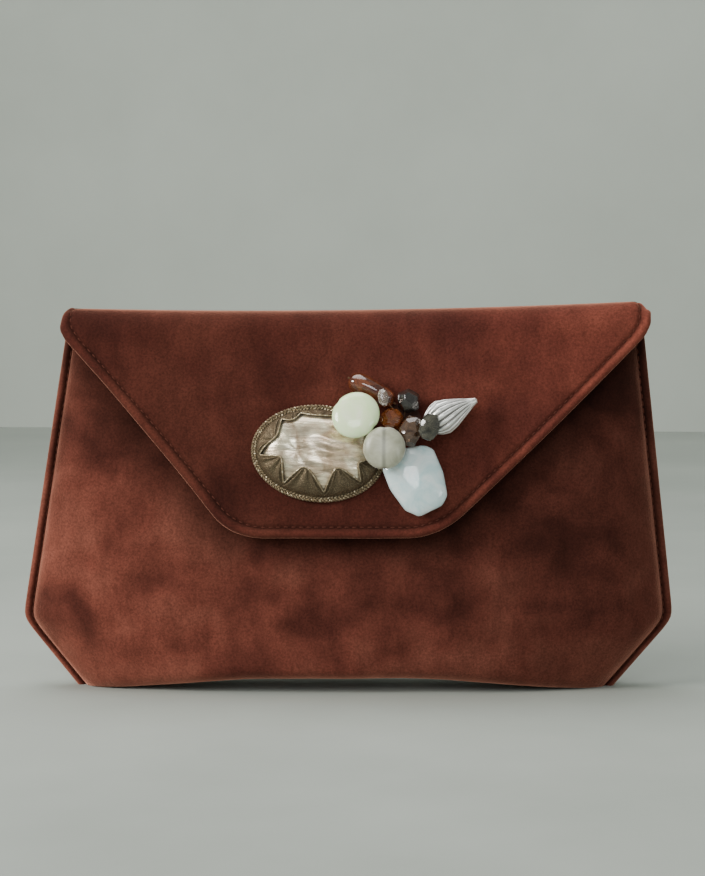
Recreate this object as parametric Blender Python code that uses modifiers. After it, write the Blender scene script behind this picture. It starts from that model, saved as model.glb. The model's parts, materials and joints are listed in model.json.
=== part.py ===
"""Velvet envelope evening bag: a padded body that folds under at the base, a flap on a two-line fold,
a magnetic snap, and a sewn ornament of a wrapped shell cabochon with beads.

Metres, +Z up, +X to the right as the flap faces the viewer at -Y. The origin is the middle of the base.
The flap is closed at rest.
"""

import math

import bmesh
import bpy
from mathutils import Matrix, Vector

MM = 0.001

# Body outline in the XZ plane
BASE_HALF_WIDTH = 111.0 * MM
WIDEST_HALF_WIDTH = 135.8 * MM
MOUTH_HALF_WIDTH = 120.0 * MM
CORNER_HEIGHT = 28.5 * MM
MOUTH_HEIGHT = 150.0 * MM
CORNER_SOFTNESS = 1.5 * MM
BASE_SHIFT = -5.1 * MM

# Body depth, each side measured from the seam plane at y = 0
FLANGE_WIDTH = 4.0 * MM
FLANGE_HALF_DEPTH = 1.35 * MM
BASE_RADIUS = 6.0 * MM
FRONT_DEPTH = {"base": 22.7 * MM, "top": 8.3 * MM, "bulge": 6.0 * MM}
BACK_DEPTH = {"base": 17.2 * MM, "top": 7.4 * MM, "bulge": 3.5 * MM}
BULGE_LEAN = 0.75
EDGE_POWER = 0.55

# Layers of a wall, from the outside in
VELVET = 1.2 * MM
PADDING = 1.5 * MM
LINING = 0.6 * MM
FLAP_BOARD = 0.8 * MM
GAP = 0.3 * MM
PADDING_OFFSET = VELVET + GAP
LINING_OFFSET = PADDING_OFFSET + PADDING + GAP
POCKET_OFFSET = LINING_OFFSET + LINING + GAP
FLAP_BOARD_OFFSET = VELVET + GAP
FLAP_LINING_OFFSET = FLAP_BOARD_OFFSET + FLAP_BOARD + GAP
WALL_TOP = 152.2 * MM
COLUMNS = 8
LAYER_REACH = 6
LAYER_ROWS = slice(3, None)

# Base plates, stacked from the floor up
BASE_BOARD = 1.8 * MM
BASE_LIMIT = 0.9

# The two fold lines of the flap and the arched spine between them
FOLD_HEIGHT = 154.5 * MM
FOLD_BACK_Y = 8.7 * MM
FOLD_FRONT_Y = -13.5 * MM
SPINE_RISE = 3.8 * MM

# Flap outline in the XZ plane, and its lean
FLAP_HALF_WIDTH = 120.5 * MM
FLAP_TIP_HEIGHT = 65.5 * MM
FLAP_POINT_HALF = 44.5 * MM
FLAP_FLAT_HALF = 36.0 * MM
FLAP_EDGE_ANGLE = math.radians(48.4)
FLAP_SKEW = -6.3 * MM
FLAP_SLOPE = 20.0 / 92.5
FLAP_SET_BACK = 0.25
FLAP_PLANE_HALF = 55.0 * MM

# Magnetic snap
SNAP_HEIGHT = 81.0 * MM
SNAP_RADIUS = 8.0 * MM
SNAP_SOCKET_DEPTH = 2.0 * MM
SNAP_STUD_PLATE = 1.0 * MM
SNAP_PEG_RADIUS = 2.2 * MM
SNAP_HOLE_RADIUS = 2.7 * MM
SNAP_PEG_LENGTH = 1.2 * MM
RIVET_RADIUS = 1.4 * MM
WASHER_RADIUS = 6.5 * MM
WASHER = 0.5 * MM

# Slip pocket on the back lining
POCKET_REACH = 3
POCKET_ROWS = slice(6, 12)

# Ornament, in the flap's own plane: x across, u up from the front fold line, h off the velvet
ORNAMENT_X = -2.4 * MM
CABOCHON_AT = (-10.6 * MM, -56.6 * MM)
CABOCHON_TURN = math.radians(-6.0)
CABOCHON_STRETCH = 1.4
SHELL_RADIUS = 15.4 * MM
SHELL_HEIGHT = 8.2 * MM
BRAID_RADIUS = 19.0 * MM
BRAID_THICKNESS = 0.9 * MM
PLEATS = 12
PLEAT_STEPS = 4
PLEAT_LOW = 12.0
PLEAT_HIGH = 36.0
FLUTES = 12
FLUTE_DEPTH = 0.5 * MM
PAD_TOP = 1.8 * MM
STITCH_BORE = 0.8 * MM
THREAD_RADIUS = 0.4 * MM

COLLECTION = "evening_bag"
HELPERS = "cutters"


# ---------------------------------------------------------------- scene and materials

def clear_scene():
    for old in list(bpy.data.objects):
        bpy.data.objects.remove(old, do_unlink=True)


def make_collection(name, hidden=False):
    collection = bpy.data.collections.new(name)
    bpy.context.scene.collection.children.link(collection)
    collection.hide_render = hidden
    return collection


def make_material(name, colour, roughness, metallic=0.0):
    material = bpy.data.materials.new(name)
    material.use_nodes = True
    shader = material.node_tree.nodes["Principled BSDF"]
    shader.inputs["Base Color"].default_value = (*colour, 1.0)
    shader.inputs["Roughness"].default_value = roughness
    shader.inputs["Metallic"].default_value = metallic
    return material


def make_materials():
    return {
        "velvet": make_material("velvet", (0.26, 0.075, 0.045), 0.9),
        "padding": make_material("padding", (0.80, 0.79, 0.76), 1.0),
        "board": make_material("board", (0.62, 0.60, 0.55), 0.9),
        "lining": make_material("lining", (0.22, 0.085, 0.05), 0.45),
        "snap": make_material("snap", (0.72, 0.68, 0.60), 0.25, 1.0),
        "felt": make_material("felt", (0.10, 0.05, 0.04), 1.0),
        "shell": make_material("shell", (0.62, 0.55, 0.47), 0.25, 0.4),
        "bronze": make_material("bronze", (0.30, 0.24, 0.15), 0.45, 0.8),
        "mint_stone": make_material("mint_stone", (0.78, 0.83, 0.68), 0.15),
        "cloud_stone": make_material("cloud_stone", (0.60, 0.62, 0.52), 0.15),
        "amber": make_material("amber", (0.30, 0.09, 0.03), 0.08),
        "smoke": make_material("smoke", (0.10, 0.09, 0.08), 0.08),
        "aqua_stone": make_material("aqua_stone", (0.66, 0.76, 0.77), 0.08),
        "silver": make_material("silver", (0.75, 0.75, 0.73), 0.35, 1.0),
        "thread": make_material("thread", (0.12, 0.07, 0.05), 0.8),
    }


# ---------------------------------------------------------------- small modelling tools

def make_pivot(name, place, collection, parent=None):
    """An empty that a moving piece hangs from, on its joint's axis."""
    pivot = bpy.data.objects.new(name, None)
    collection.objects.link(pivot)
    pivot.location = place
    if parent is not None:
        hang(pivot, parent)
    bpy.context.view_layer.update()
    return pivot


def hang(piece, pivot):
    """Parents a piece to a pivot and leaves it where it is."""
    piece.parent = pivot
    piece.matrix_parent_inverse = pivot.matrix_world.inverted()


def add_object(name, data, material, collection, parent=None):
    made = bpy.data.objects.new(name, data)
    collection.objects.link(made)
    if material is not None:
        data.materials.append(material)
    made.parent = parent
    return made


def spread(low, high, count):
    """count + 1 evenly spaced values from low to high."""
    return [low + (high - low) * k / count for k in range(count + 1)]


def soft_min(a, b, softness):
    return -softness * math.log(math.exp(-a / softness) + math.exp(-b / softness))


def sheet_mesh(name, rows, flip=False):
    """An open surface through rows of points. It faces -Y when rows climb and points run along +X."""
    mesh = bpy.data.meshes.new(name)
    work = bmesh.new()
    grid = [[work.verts.new(point) for point in row] for row in rows]
    for low, high in zip(grid, grid[1:]):
        for k in range(len(low) - 1):
            corners = [low[k], low[k + 1], high[k + 1], high[k]]
            work.faces.new(corners[::-1] if flip else corners)
    work.to_mesh(mesh)
    work.free()
    mesh.shade_smooth()
    return mesh


def shell(name, rows, thickness, material, collection, flip=False):
    """A sheet thickened away from the side it faces."""
    made = add_object(name, sheet_mesh(name, rows, flip), material, collection)
    solidify = made.modifiers.new("thickness", "SOLIDIFY")
    solidify.thickness = thickness
    solidify.offset = -1.0
    return made


def plate(name, outline, thickness, low, material, collection, parent=None):
    """A flat plate with this outline in its local XY plane, its underside at low."""
    curve = bpy.data.curves.new(name, "CURVE")
    curve.dimensions = "2D"
    curve.fill_mode = "BOTH"
    curve.extrude = thickness / 2
    spline = curve.splines.new("POLY")
    spline.points.add(len(outline) - 1)
    for point, (x, y) in zip(spline.points, outline):
        point.co = (x, y, 0.0, 1.0)
    spline.use_cyclic_u = True
    made = add_object(name, curve, material, collection, parent)
    made.location.z = low + thickness / 2
    return made


def ellipse(radius_x, radius_y, count):
    angles = [2 * math.pi * k / count for k in range(count)]
    return [(radius_x * math.cos(a), radius_y * math.sin(a)) for a in angles]


def turned(name, profile, material, collection, steps=24, ring=False, parent=None):
    """A profile of (radius, height) points turned about local Z. A ring's profile is a closed loop."""
    mesh = bpy.data.meshes.new(name)
    points = [(radius, 0.0, height) for radius, height in profile]
    edges = [(k, k + 1) for k in range(len(points) - 1)]
    if ring:
        edges.append((len(points) - 1, 0))
    mesh.from_pydata(points, edges, [])
    made = add_object(name, mesh, material, collection, parent)
    screw = made.modifiers.new("turn", "SCREW")
    screw.steps = steps
    screw.render_steps = steps
    screw.use_merge_vertices = True
    screw.merge_threshold = 0.00001
    return made


def ring_loft(name, section_at, steps, material, collection, parent=None):
    """A ring whose closed section, as (radius, height) points, may change from one angle to the next."""
    mesh = bpy.data.meshes.new(name)
    work = bmesh.new()
    loops = []
    for k in range(steps):
        angle = 2 * math.pi * k / steps
        across, along = math.cos(angle), math.sin(angle)
        loops.append([work.verts.new((r * across, r * along, h)) for r, h in section_at(k)])
    for k, loop in enumerate(loops):
        after = loops[(k + 1) % steps]
        for j in range(len(loop)):
            beyond = (j + 1) % len(loop)
            work.faces.new((loop[j], loop[beyond], after[beyond], after[j]))
    bmesh.ops.recalc_face_normals(work, faces=work.faces)
    work.to_mesh(mesh)
    work.free()
    return add_object(name, mesh, material, collection, parent)


def bored_profile(outer, bore):
    """A closed loop from an outer profile that runs top to bottom, with a straight bore up its middle."""
    return outer + [(bore, outer[-1][1]), (bore, outer[0][1])]


def tube(name, points, radius, material, collection, closed=False, parent=None):
    curve = bpy.data.curves.new(name, "CURVE")
    curve.dimensions = "3D"
    curve.bevel_depth = radius
    curve.bevel_resolution = 2
    curve.use_fill_caps = not closed
    spline = curve.splines.new("POLY")
    spline.points.add(len(points) - 1)
    for point, co in zip(spline.points, points):
        point.co = (*co, 1.0)
    spline.use_cyclic_u = closed
    return add_object(name, curve, material, collection, parent)


def faceted(name, outline, rings, material, collection, parent=None):
    """A cut stone: the convex hull of its outline at several heights, each scaled towards the middle."""
    mesh = bpy.data.meshes.new(name)
    work = bmesh.new()
    for height, scale in rings:
        for x, y in outline:
            work.verts.new((x * scale, y * scale, height))
    bmesh.ops.convex_hull(work, input=work.verts)
    loose = [vert for vert in work.verts if not vert.link_faces]
    bmesh.ops.delete(work, geom=loose, context="VERTS")
    bmesh.ops.recalc_face_normals(work, faces=work.faces)
    work.to_mesh(mesh)
    work.free()
    return add_object(name, mesh, material, collection, parent)


def round_bead(name, radii, material, collection, parent=None):
    mesh = bpy.data.meshes.new(name)
    work = bmesh.new()
    bmesh.ops.create_uvsphere(work, u_segments=20, v_segments=10, radius=1.0)
    bmesh.ops.scale(work, vec=radii, verts=work.verts)
    work.to_mesh(mesh)
    work.free()
    mesh.shade_smooth()
    return add_object(name, mesh, material, collection, parent)


def cylinder_cutter(name, radius, length, place, helpers):
    """A closed cylinder along local Z, centred on place, that is only used to cut."""
    mesh = bpy.data.meshes.new(name)
    work = bmesh.new()
    bmesh.ops.create_cone(
        work, cap_ends=True, segments=20, radius1=radius, radius2=radius, depth=length
    )
    work.to_mesh(mesh)
    work.free()
    cutter = add_object(name, mesh, None, helpers)
    cutter.matrix_world = place
    cutter.hide_render = True
    cutter.display_type = "WIRE"
    return cutter


def cut(target, cutter):
    boolean = target.modifiers.new("cut_" + cutter.name, "BOOLEAN")
    boolean.operation = "DIFFERENCE"
    boolean.object = cutter
    boolean.solver = "EXACT"


# ---------------------------------------------------------------- shape of the body

def body_half_width(z):
    """Half the body's width at a height: the cut corner below, the tapering side above."""
    corner = BASE_HALF_WIDTH + (WIDEST_HALF_WIDTH - BASE_HALF_WIDTH) * z / CORNER_HEIGHT
    climb = (z - CORNER_HEIGHT) / (MOUTH_HEIGHT - CORNER_HEIGHT)
    side = WIDEST_HALF_WIDTH + (MOUTH_HALF_WIDTH - WIDEST_HALF_WIDTH) * climb
    return soft_min(corner, side, CORNER_SOFTNESS)


def panel_depth(x, z, depth):
    """Depth of a wall's outer face from the seam plane."""
    share = min(z / MOUTH_HEIGHT, 1.0)
    middle = depth["base"] + (depth["top"] - depth["base"]) * share
    middle += depth["bulge"] * math.sin(math.pi * share**BULGE_LEAN)
    if z < BASE_RADIUS:
        middle -= BASE_RADIUS * (1 - math.sqrt(1 - (1 - z / BASE_RADIUS) ** 2))
    across = min(abs(x) / (body_half_width(z) - FLANGE_WIDTH), 1.0)
    power = 2.6 + 2.4 * share
    return FLANGE_HALF_DEPTH + middle * (1 - across**power) ** EDGE_POWER


def wall_point(x, z, depth, side, offset):
    """A point of a wall, offset into the bag from its outer face. side is -1 in front, +1 behind."""
    step = 0.5 * MM
    slope_x = (panel_depth(x + step, z, depth) - panel_depth(x - step, z, depth)) / (2 * step)
    slope_z = (panel_depth(x, z + step, depth) - panel_depth(x, z - step, depth)) / (2 * step)
    outward = Vector((-slope_x, side, -slope_z)).normalized()
    return Vector((x, side * panel_depth(x, z, depth), z)) - outward * offset


def wall_heights(top):
    """Heights of a wall's rows: an arc at the base, then even spans to the widest point and the top."""
    arc = [BASE_RADIUS * (1 - math.cos(math.radians(a))) for a in (0, 30, 60)]
    return arc + spread(BASE_RADIUS, CORNER_HEIGHT, 3) + spread(CORNER_HEIGHT, top, 8)[1:]


def wall_columns(z, reach):
    """Places of a wall's columns at a height, closer together towards the seams."""
    edge = body_half_width(z) - FLANGE_WIDTH
    return [math.sin(math.pi / 2 * k / COLUMNS) * edge for k in range(-reach, reach + 1)]


def leaned(point):
    """A point of the body moved sideways with its lean: the base stands to the left of the mouth."""
    return point + Vector((BASE_SHIFT * (1 - point.z / WALL_TOP), 0.0, 0.0))


def panel_rows(depth, side, top):
    """Rows of the velvet's outer face, with the flat seam flange along both edges."""
    rows = []
    for z in wall_heights(top):
        edge = body_half_width(z)
        columns = wall_columns(z, COLUMNS)
        points = [Vector((x, side * panel_depth(x, z, depth), z)) for x in columns]
        flange = [Vector((x, side * FLANGE_HALF_DEPTH, z)) for x in (-edge, edge)]
        rows.append([leaned(point) for point in (flange[0], *points, flange[1])])
    return rows


def layer_rows(depth, side, offset, top, reach=LAYER_REACH, rows=LAYER_ROWS):
    """Rows of an inner layer's outer face, under chosen rows and middle columns of the velvet."""
    return [
        [leaned(wall_point(x, z, depth, side, offset)) for x in wall_columns(z, reach)]
        for z in wall_heights(top)[rows]
    ]


def base_outline(inset):
    """Outline of a base plate, between the lowest edges of the front and back walls."""
    reach = BASE_LIMIT * (BASE_HALF_WIDTH - FLANGE_WIDTH)
    across = [math.sin(math.pi / 2 * k / COLUMNS) * reach for k in range(-COLUMNS, COLUMNS + 1)]
    front = [(x + BASE_SHIFT, -panel_depth(x, 0.0, FRONT_DEPTH) + inset) for x in across]
    back = [(x + BASE_SHIFT, panel_depth(x, 0.0, BACK_DEPTH) - inset) for x in across]
    return front + back[::-1]


# ---------------------------------------------------------------- shape of the flap

def flap_half_width(z, tip):
    """Half the flap's width at a height: a rounded corner by the tip, then the slanting edge."""
    rise = z - tip
    reach = FLAP_POINT_HALF - FLAP_FLAT_HALF
    radius = reach / math.tan(FLAP_EDGE_ANGLE / 2)
    if rise < reach * math.sin(FLAP_EDGE_ANGLE):
        slant = FLAP_FLAT_HALF + math.sqrt(radius**2 - (radius - rise) ** 2)
    else:
        slant = FLAP_POINT_HALF + rise / math.tan(FLAP_EDGE_ANGLE)
    return soft_min(slant, FLAP_HALF_WIDTH, CORNER_SOFTNESS)


def flap_face_y(x, z):
    """The flap's outer face: flat over its middle, set back a little towards its sides."""
    beyond = max(abs(x) - FLAP_PLANE_HALF, 0.0) / (FLAP_HALF_WIDTH - FLAP_PLANE_HALF)
    lean = FLAP_SLOPE * (FOLD_HEIGHT - z)
    return FOLD_FRONT_Y - lean * (1 - FLAP_SET_BACK * beyond**2)


def flap_rows(offset, inset, columns=8):
    """Rows of a flap layer's outer face, from the tip up to the front fold line."""
    tip = FLAP_TIP_HEIGHT + inset
    arc = FLAP_EDGE_ANGLE / 3
    radius = (FLAP_POINT_HALF - FLAP_FLAT_HALF) / math.tan(FLAP_EDGE_ANGLE / 2)
    heights = [tip + radius * (1 - math.cos(arc * k)) for k in range(3)]
    heights += spread(tip + radius * (1 - math.cos(arc * 3)), WALL_TOP, 7)
    lean = math.atan(FLAP_SLOPE)
    inward = Vector((0.0, math.cos(lean), -math.sin(lean)))
    rows = []
    for z in heights:
        reach = flap_half_width(z, tip) - inset
        skew = FLAP_SKEW * (WALL_TOP - z) / (WALL_TOP - FLAP_TIP_HEIGHT)
        across = [skew + reach * k / columns for k in range(-columns, columns + 1)]
        rows.append([Vector((x, flap_face_y(x, z), z)) + inward * offset for x in across])
    return rows


def spine_rows(offset, half_length):
    """Rows of a spine layer's outer face, an arch between the two fold lines."""
    half_chord = (FOLD_BACK_Y - FOLD_FRONT_Y) / 2
    radius = (half_chord**2 + SPINE_RISE**2) / (2 * SPINE_RISE)
    middle_y = (FOLD_BACK_Y + FOLD_FRONT_Y) / 2
    middle_z = FOLD_HEIGHT + SPINE_RISE - radius
    half_arc = math.asin(half_chord / radius) - GAP / radius
    rows = []
    for angle in spread(-half_arc, half_arc, 8):
        y = middle_y + (radius - offset) * math.sin(angle)
        z = middle_z + (radius - offset) * math.cos(angle)
        rows.append([Vector((x, y, z)) for x in spread(-half_length, half_length, 4)])
    return rows


# ---------------------------------------------------------------- sub-parts of the body

def make_walls(parts, mats):
    front = shell(
        "front_panel", panel_rows(FRONT_DEPTH, -1, MOUTH_HEIGHT), VELVET, mats["velvet"], parts
    )
    shell(
        "back_panel", panel_rows(BACK_DEPTH, 1, WALL_TOP), VELVET, mats["velvet"], parts, flip=True
    )
    padding = shell(
        "front_padding",
        layer_rows(FRONT_DEPTH, -1, PADDING_OFFSET, MOUTH_HEIGHT),
        PADDING,
        mats["padding"],
        parts,
    )
    shell(
        "back_padding",
        layer_rows(BACK_DEPTH, 1, PADDING_OFFSET, WALL_TOP),
        PADDING,
        mats["padding"],
        parts,
        flip=True,
    )
    shell(
        "front_lining",
        layer_rows(FRONT_DEPTH, -1, LINING_OFFSET, MOUTH_HEIGHT),
        LINING,
        mats["lining"],
        parts,
    )
    shell(
        "back_lining",
        layer_rows(BACK_DEPTH, 1, LINING_OFFSET, WALL_TOP),
        LINING,
        mats["lining"],
        parts,
        flip=True,
    )
    shell(
        "slip_pocket",
        layer_rows(BACK_DEPTH, 1, POCKET_OFFSET, WALL_TOP, POCKET_REACH, POCKET_ROWS),
        LINING,
        mats["lining"],
        parts,
        flip=True,
    )
    return front, padding


def make_base(parts, mats):
    clear_of_walls = VELVET + GAP
    plate("base_panel", base_outline(clear_of_walls), VELVET, 0.0, mats["velvet"], parts)
    low = VELVET + GAP
    plate("base_board", base_outline(clear_of_walls), BASE_BOARD, low, mats["board"], parts)
    low += BASE_BOARD + GAP
    plate("base_lining", base_outline(clear_of_walls), LINING, low, mats["lining"], parts)


# ---------------------------------------------------------------- sub-parts of the flap

def make_spine(parts, mats, pivot):
    length = FLAP_HALF_WIDTH
    layers = (
        ("spine_velvet", 0.0, VELVET, length, "velvet"),
        ("spine_board", FLAP_BOARD_OFFSET, FLAP_BOARD, length - 6 * MM, "board"),
        ("spine_lining", FLAP_LINING_OFFSET, LINING, length - 2 * MM, "lining"),
    )
    for name, offset, thickness, half_length, look in layers:
        rows = spine_rows(offset, half_length)
        hang(shell(name, rows, thickness, mats[look], parts, flip=True), pivot)


def make_flap(parts, mats, pivot):
    velvet = shell("flap_velvet", flap_rows(0.0, 0.0), VELVET, mats["velvet"], parts)
    board = shell(
        "flap_board", flap_rows(FLAP_BOARD_OFFSET, 7 * MM), FLAP_BOARD, mats["board"], parts
    )
    lining = shell(
        "flap_lining", flap_rows(FLAP_LINING_OFFSET, 2 * MM), LINING, mats["lining"], parts
    )
    for layer in (velvet, board, lining):
        hang(layer, pivot)
    return board, lining


# ---------------------------------------------------------------- magnetic snap

def facing_place(x, y, z, tilt):
    """A frame at a point whose local Z faces -Y and leans up by tilt."""
    turn = Matrix.Rotation(math.pi / 2 - tilt, 4, "X")
    return Matrix.Translation((x, y, z)) @ turn


def make_snap(parts, helpers, mats, pivot, front, front_padding, flap_board, flap_lining):
    """The socket is riveted to the front wall and the stud to the flap's lining, on one tilted axis."""
    step = 1.0 * MM
    low_depth, high_depth = (
        panel_depth(0.0, SNAP_HEIGHT + d, FRONT_DEPTH) for d in (-step, step)
    )
    tilt = math.atan((low_depth - high_depth) / (2 * step))
    wall_y = -panel_depth(0.0, SNAP_HEIGHT, FRONT_DEPTH)
    socket_at = facing_place(*leaned(Vector((0.0, wall_y - GAP, SNAP_HEIGHT))), tilt)
    socket = turned(
        "snap_socket",
        [
            (SNAP_HOLE_RADIUS, SNAP_SOCKET_DEPTH),
            (SNAP_RADIUS - 0.6 * MM, SNAP_SOCKET_DEPTH),
            (SNAP_RADIUS, SNAP_SOCKET_DEPTH - 0.6 * MM),
            (SNAP_RADIUS, 0.0),
            (RIVET_RADIUS, 0.0),
            (RIVET_RADIUS, -PADDING_OFFSET - WASHER - 2 * GAP),
            (0.0, -PADDING_OFFSET - WASHER - 2 * GAP),
            (0.0, 0.6 * MM),
            (SNAP_HOLE_RADIUS, 0.6 * MM),
        ],
        mats["snap"],
        parts,
        ring=True,
    )
    socket.matrix_world = socket_at
    washer = turned(
        "snap_socket_washer",
        bored_profile([(WASHER_RADIUS, WASHER), (WASHER_RADIUS, 0.0)], RIVET_RADIUS + GAP),
        mats["snap"],
        parts,
        ring=True,
    )
    washer.matrix_world = socket_at @ Matrix.Translation((0, 0, -PADDING_OFFSET - WASHER - GAP))

    lean = math.atan(FLAP_SLOPE)
    flap_y = flap_face_y(0.0, SNAP_HEIGHT) + (FLAP_LINING_OFFSET + LINING + GAP) / math.cos(lean)
    stud_at = facing_place(socket_at.translation.x, flap_y, SNAP_HEIGHT + 0.8 * MM, lean)
    rivet_end = LINING + 2 * GAP + WASHER
    stud = turned(
        "snap_stud",
        [
            (0.0, rivet_end),
            (RIVET_RADIUS, rivet_end),
            (RIVET_RADIUS, 0.0),
            (SNAP_RADIUS, 0.0),
            (SNAP_RADIUS, -SNAP_STUD_PLATE),
            (SNAP_PEG_RADIUS, -SNAP_STUD_PLATE),
            (SNAP_PEG_RADIUS, -SNAP_STUD_PLATE - SNAP_PEG_LENGTH),
            (0.0, -SNAP_STUD_PLATE - SNAP_PEG_LENGTH),
        ],
        mats["snap"],
        parts,
    )
    stud.matrix_world = stud_at
    back_washer = turned(
        "snap_stud_washer",
        bored_profile([(WASHER_RADIUS, WASHER), (WASHER_RADIUS, 0.0)], RIVET_RADIUS + GAP),
        mats["snap"],
        parts,
        ring=True,
    )
    back_washer.matrix_world = stud_at @ Matrix.Translation((0, 0, LINING + 2 * GAP))
    hang(stud, pivot)
    hang(back_washer, pivot)

    through = 8 * MM
    rivet_hole = RIVET_RADIUS + GAP
    washer_hole = WASHER_RADIUS + GAP
    cut(front, cylinder_cutter("socket_rivet_hole", rivet_hole, through, socket_at, helpers))
    cut(front_padding, cylinder_cutter("socket_washer_hole", washer_hole, through, socket_at, helpers))
    cut(flap_lining, cylinder_cutter("stud_rivet_hole", rivet_hole, through, stud_at, helpers))
    cut(flap_board, cylinder_cutter("stud_washer_hole", washer_hole, through, stud_at, helpers))


# ---------------------------------------------------------------- ornament

def ornament_plane(parts, pivot):
    """An empty on the front fold line. Its local axes are x across, y up the flap, z off the velvet."""
    plane = make_pivot("ornament_plane", (ORNAMENT_X, FOLD_FRONT_Y, FOLD_HEIGHT), parts, pivot)
    plane.rotation_euler = (math.pi / 2 - math.atan(FLAP_SLOPE), 0.0, 0.0)
    bpy.context.view_layer.update()
    return plane


def place(piece, x, u, h, turn=0.0, tip=0.0, roll=0.0):
    """Places a piece on the ornament plane: tipped about x in degrees, rolled about y, turned about z."""
    piece.location = (x * MM, u * MM, h * MM)
    piece.rotation_euler = [math.radians(angle) for angle in (tip, roll, turn)]


def make_cabochon(parts, mats, plane):
    """Felt pad, shell dome, pleated metallic frame over the dome's flank, and a braid round the edge."""
    pad_radius = BRAID_RADIUS - 1.7 * MM
    pad = plate(
        "cabochon_pad",
        ellipse(pad_radius * CABOCHON_STRETCH, pad_radius, 32),
        PAD_TOP - GAP,
        GAP,
        mats["felt"],
        parts,
        plane,
    )
    dome_base = PAD_TOP + GAP
    dome_angles = [math.radians(a) for a in (90, 72, 54, 38, 22, 8, 0)]
    dome = [
        (SHELL_RADIUS * math.cos(a), dome_base + SHELL_HEIGHT * math.sin(a)) for a in dome_angles
    ]
    dome[0] = (0.0, dome_base + SHELL_HEIGHT)
    shell_dome = turned(
        "shell_cabochon", dome + [(0.0, dome_base)], mats["shell"], parts, steps=32, parent=plane
    )
    def frame_section(step):
        """The frame's section: its upper edge climbs the dome at each pleat and drops between them."""
        pleat = 1 - abs(step % PLEAT_STEPS - PLEAT_STEPS / 2) / (PLEAT_STEPS / 2)
        top = math.radians(PLEAT_LOW + (PLEAT_HIGH - PLEAT_LOW) * pleat)
        inner = [
            (
                (SHELL_RADIUS + 2 * GAP) * math.cos(angle),
                dome_base + (SHELL_HEIGHT + 2 * GAP) * math.sin(angle),
            )
            for angle in (0.0, top / 2, top)
        ]
        lift = 0.5 * MM + 0.5 * MM * pleat
        outer = [
            (inner[2][0] + lift / 2, inner[2][1] + lift),
            (BRAID_RADIUS - 1.5 * MM, dome_base + 0.9 * MM + lift),
            (BRAID_RADIUS - 1.5 * MM, dome_base),
        ]
        return inner + outer

    frame = ring_loft(
        "cabochon_frame", frame_section, PLEATS * PLEAT_STEPS, mats["bronze"], parts, plane
    )
    for piece in (shell_dome, frame):
        piece.scale = (CABOCHON_STRETCH, 1.0, 1.0)
    loop = [
        (x, y, 0.0) for x, y in ellipse(BRAID_RADIUS * CABOCHON_STRETCH, BRAID_RADIUS, 40)
    ]
    braid = tube("braid_trim", loop, BRAID_THICKNESS, mats["bronze"], parts, True, plane)
    braid.location.z = BRAID_THICKNESS + GAP
    for piece in (pad, shell_dome, frame, braid):
        piece.location.x, piece.location.y = CABOCHON_AT
        piece.rotation_euler.z = CABOCHON_TURN


def make_beads(parts, mats, plane):
    """The fixed beads of the cluster, sewn down on their own felt pad."""
    pad = plate(
        "bead_pad", ellipse(7.5 * MM, 7.5 * MM, 20), PAD_TOP - GAP, GAP, mats["felt"], parts, plane
    )
    pad.location.x, pad.location.y = 23.8 * MM, -43.5 * MM

    coin = round_bead("mint_coin_bead", (9.9 * MM, 9.5 * MM, 3.3 * MM), mats["mint_stone"], parts, plane)
    place(coin, 5.2, -42.6, 12.4, tip=-8, roll=8)
    cloud = round_bead("clouded_bead", (8.5 * MM, 8.7 * MM, 3.6 * MM), mats["cloud_stone"], parts, plane)
    place(cloud, 16.8, -56.2, 14.0)

    octagon = ellipse(1.0, 1.0, 8)
    for name, size, look, spot in (
        ("amber_round_bead", (4.5, 4.5, 4.2), "amber", (19.6, -43.6, 6.4, 10)),
        ("crystal_bead", (2.2, 3.2, 2.0), "cloud_stone", (16.2, -35.4, 11.4, 10)),
        ("smoky_bead", (4.9, 4.9, 4.4), "smoke", (26.2, -36.2, 6.6, 20)),
        ("brown_bead", (4.0, 5.4, 3.4), "amber", (27.4, -48.6, 9.8, -8)),
        ("olive_bead", (3.5, 4.8, 2.6), "smoke", (34.8, -47.8, 13.8, -15)),
    ):
        width, length, height = (value * MM for value in size)
        outline = [(x * width, y * length) for x, y in octagon]
        rings = [(-height, 0.35), (-0.55 * height, 0.85), (0, 1.0), (0.55 * height, 0.85), (height, 0.35)]
        bead = faceted(name, outline, rings, mats[look], parts, plane)
        x, u, h, turn = spot
        place(bead, x, u, h, turn=turn)


def make_silver_bead(parts, mats, plane):
    """A fluted teardrop that turns on the wire it is threaded on."""
    outer = [(1.4, 20.2), (2.0, 19.4), (5.3, 11.6), (6.9, 7.4), (6.8, 5.4), (4.9, 1.6), (3.0, 0.0)]

    def section(step):
        """The bead's section, which loses a little radius in every other step to make a flute."""
        groove = FLUTE_DEPTH * (step % 2)
        edge = [(r * MM - groove * min(1, r / 5), h * MM) for r, h in outer]
        return bored_profile(edge, STITCH_BORE)

    bead = ring_loft("silver_bead", section, 2 * FLUTES, mats["silver"], parts, plane)
    wire = tube(
        "silver_bead_wire",
        [(0.0, 0.0, -1.4 * MM), (0.0, 0.0, 21.0 * MM)],
        THREAD_RADIUS,
        mats["silver"],
        parts,
        parent=plane,
    )
    for piece in (bead, wire):
        place(piece, 35.2, -45.3, 7.4, turn=-63.0, tip=-90)


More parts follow.
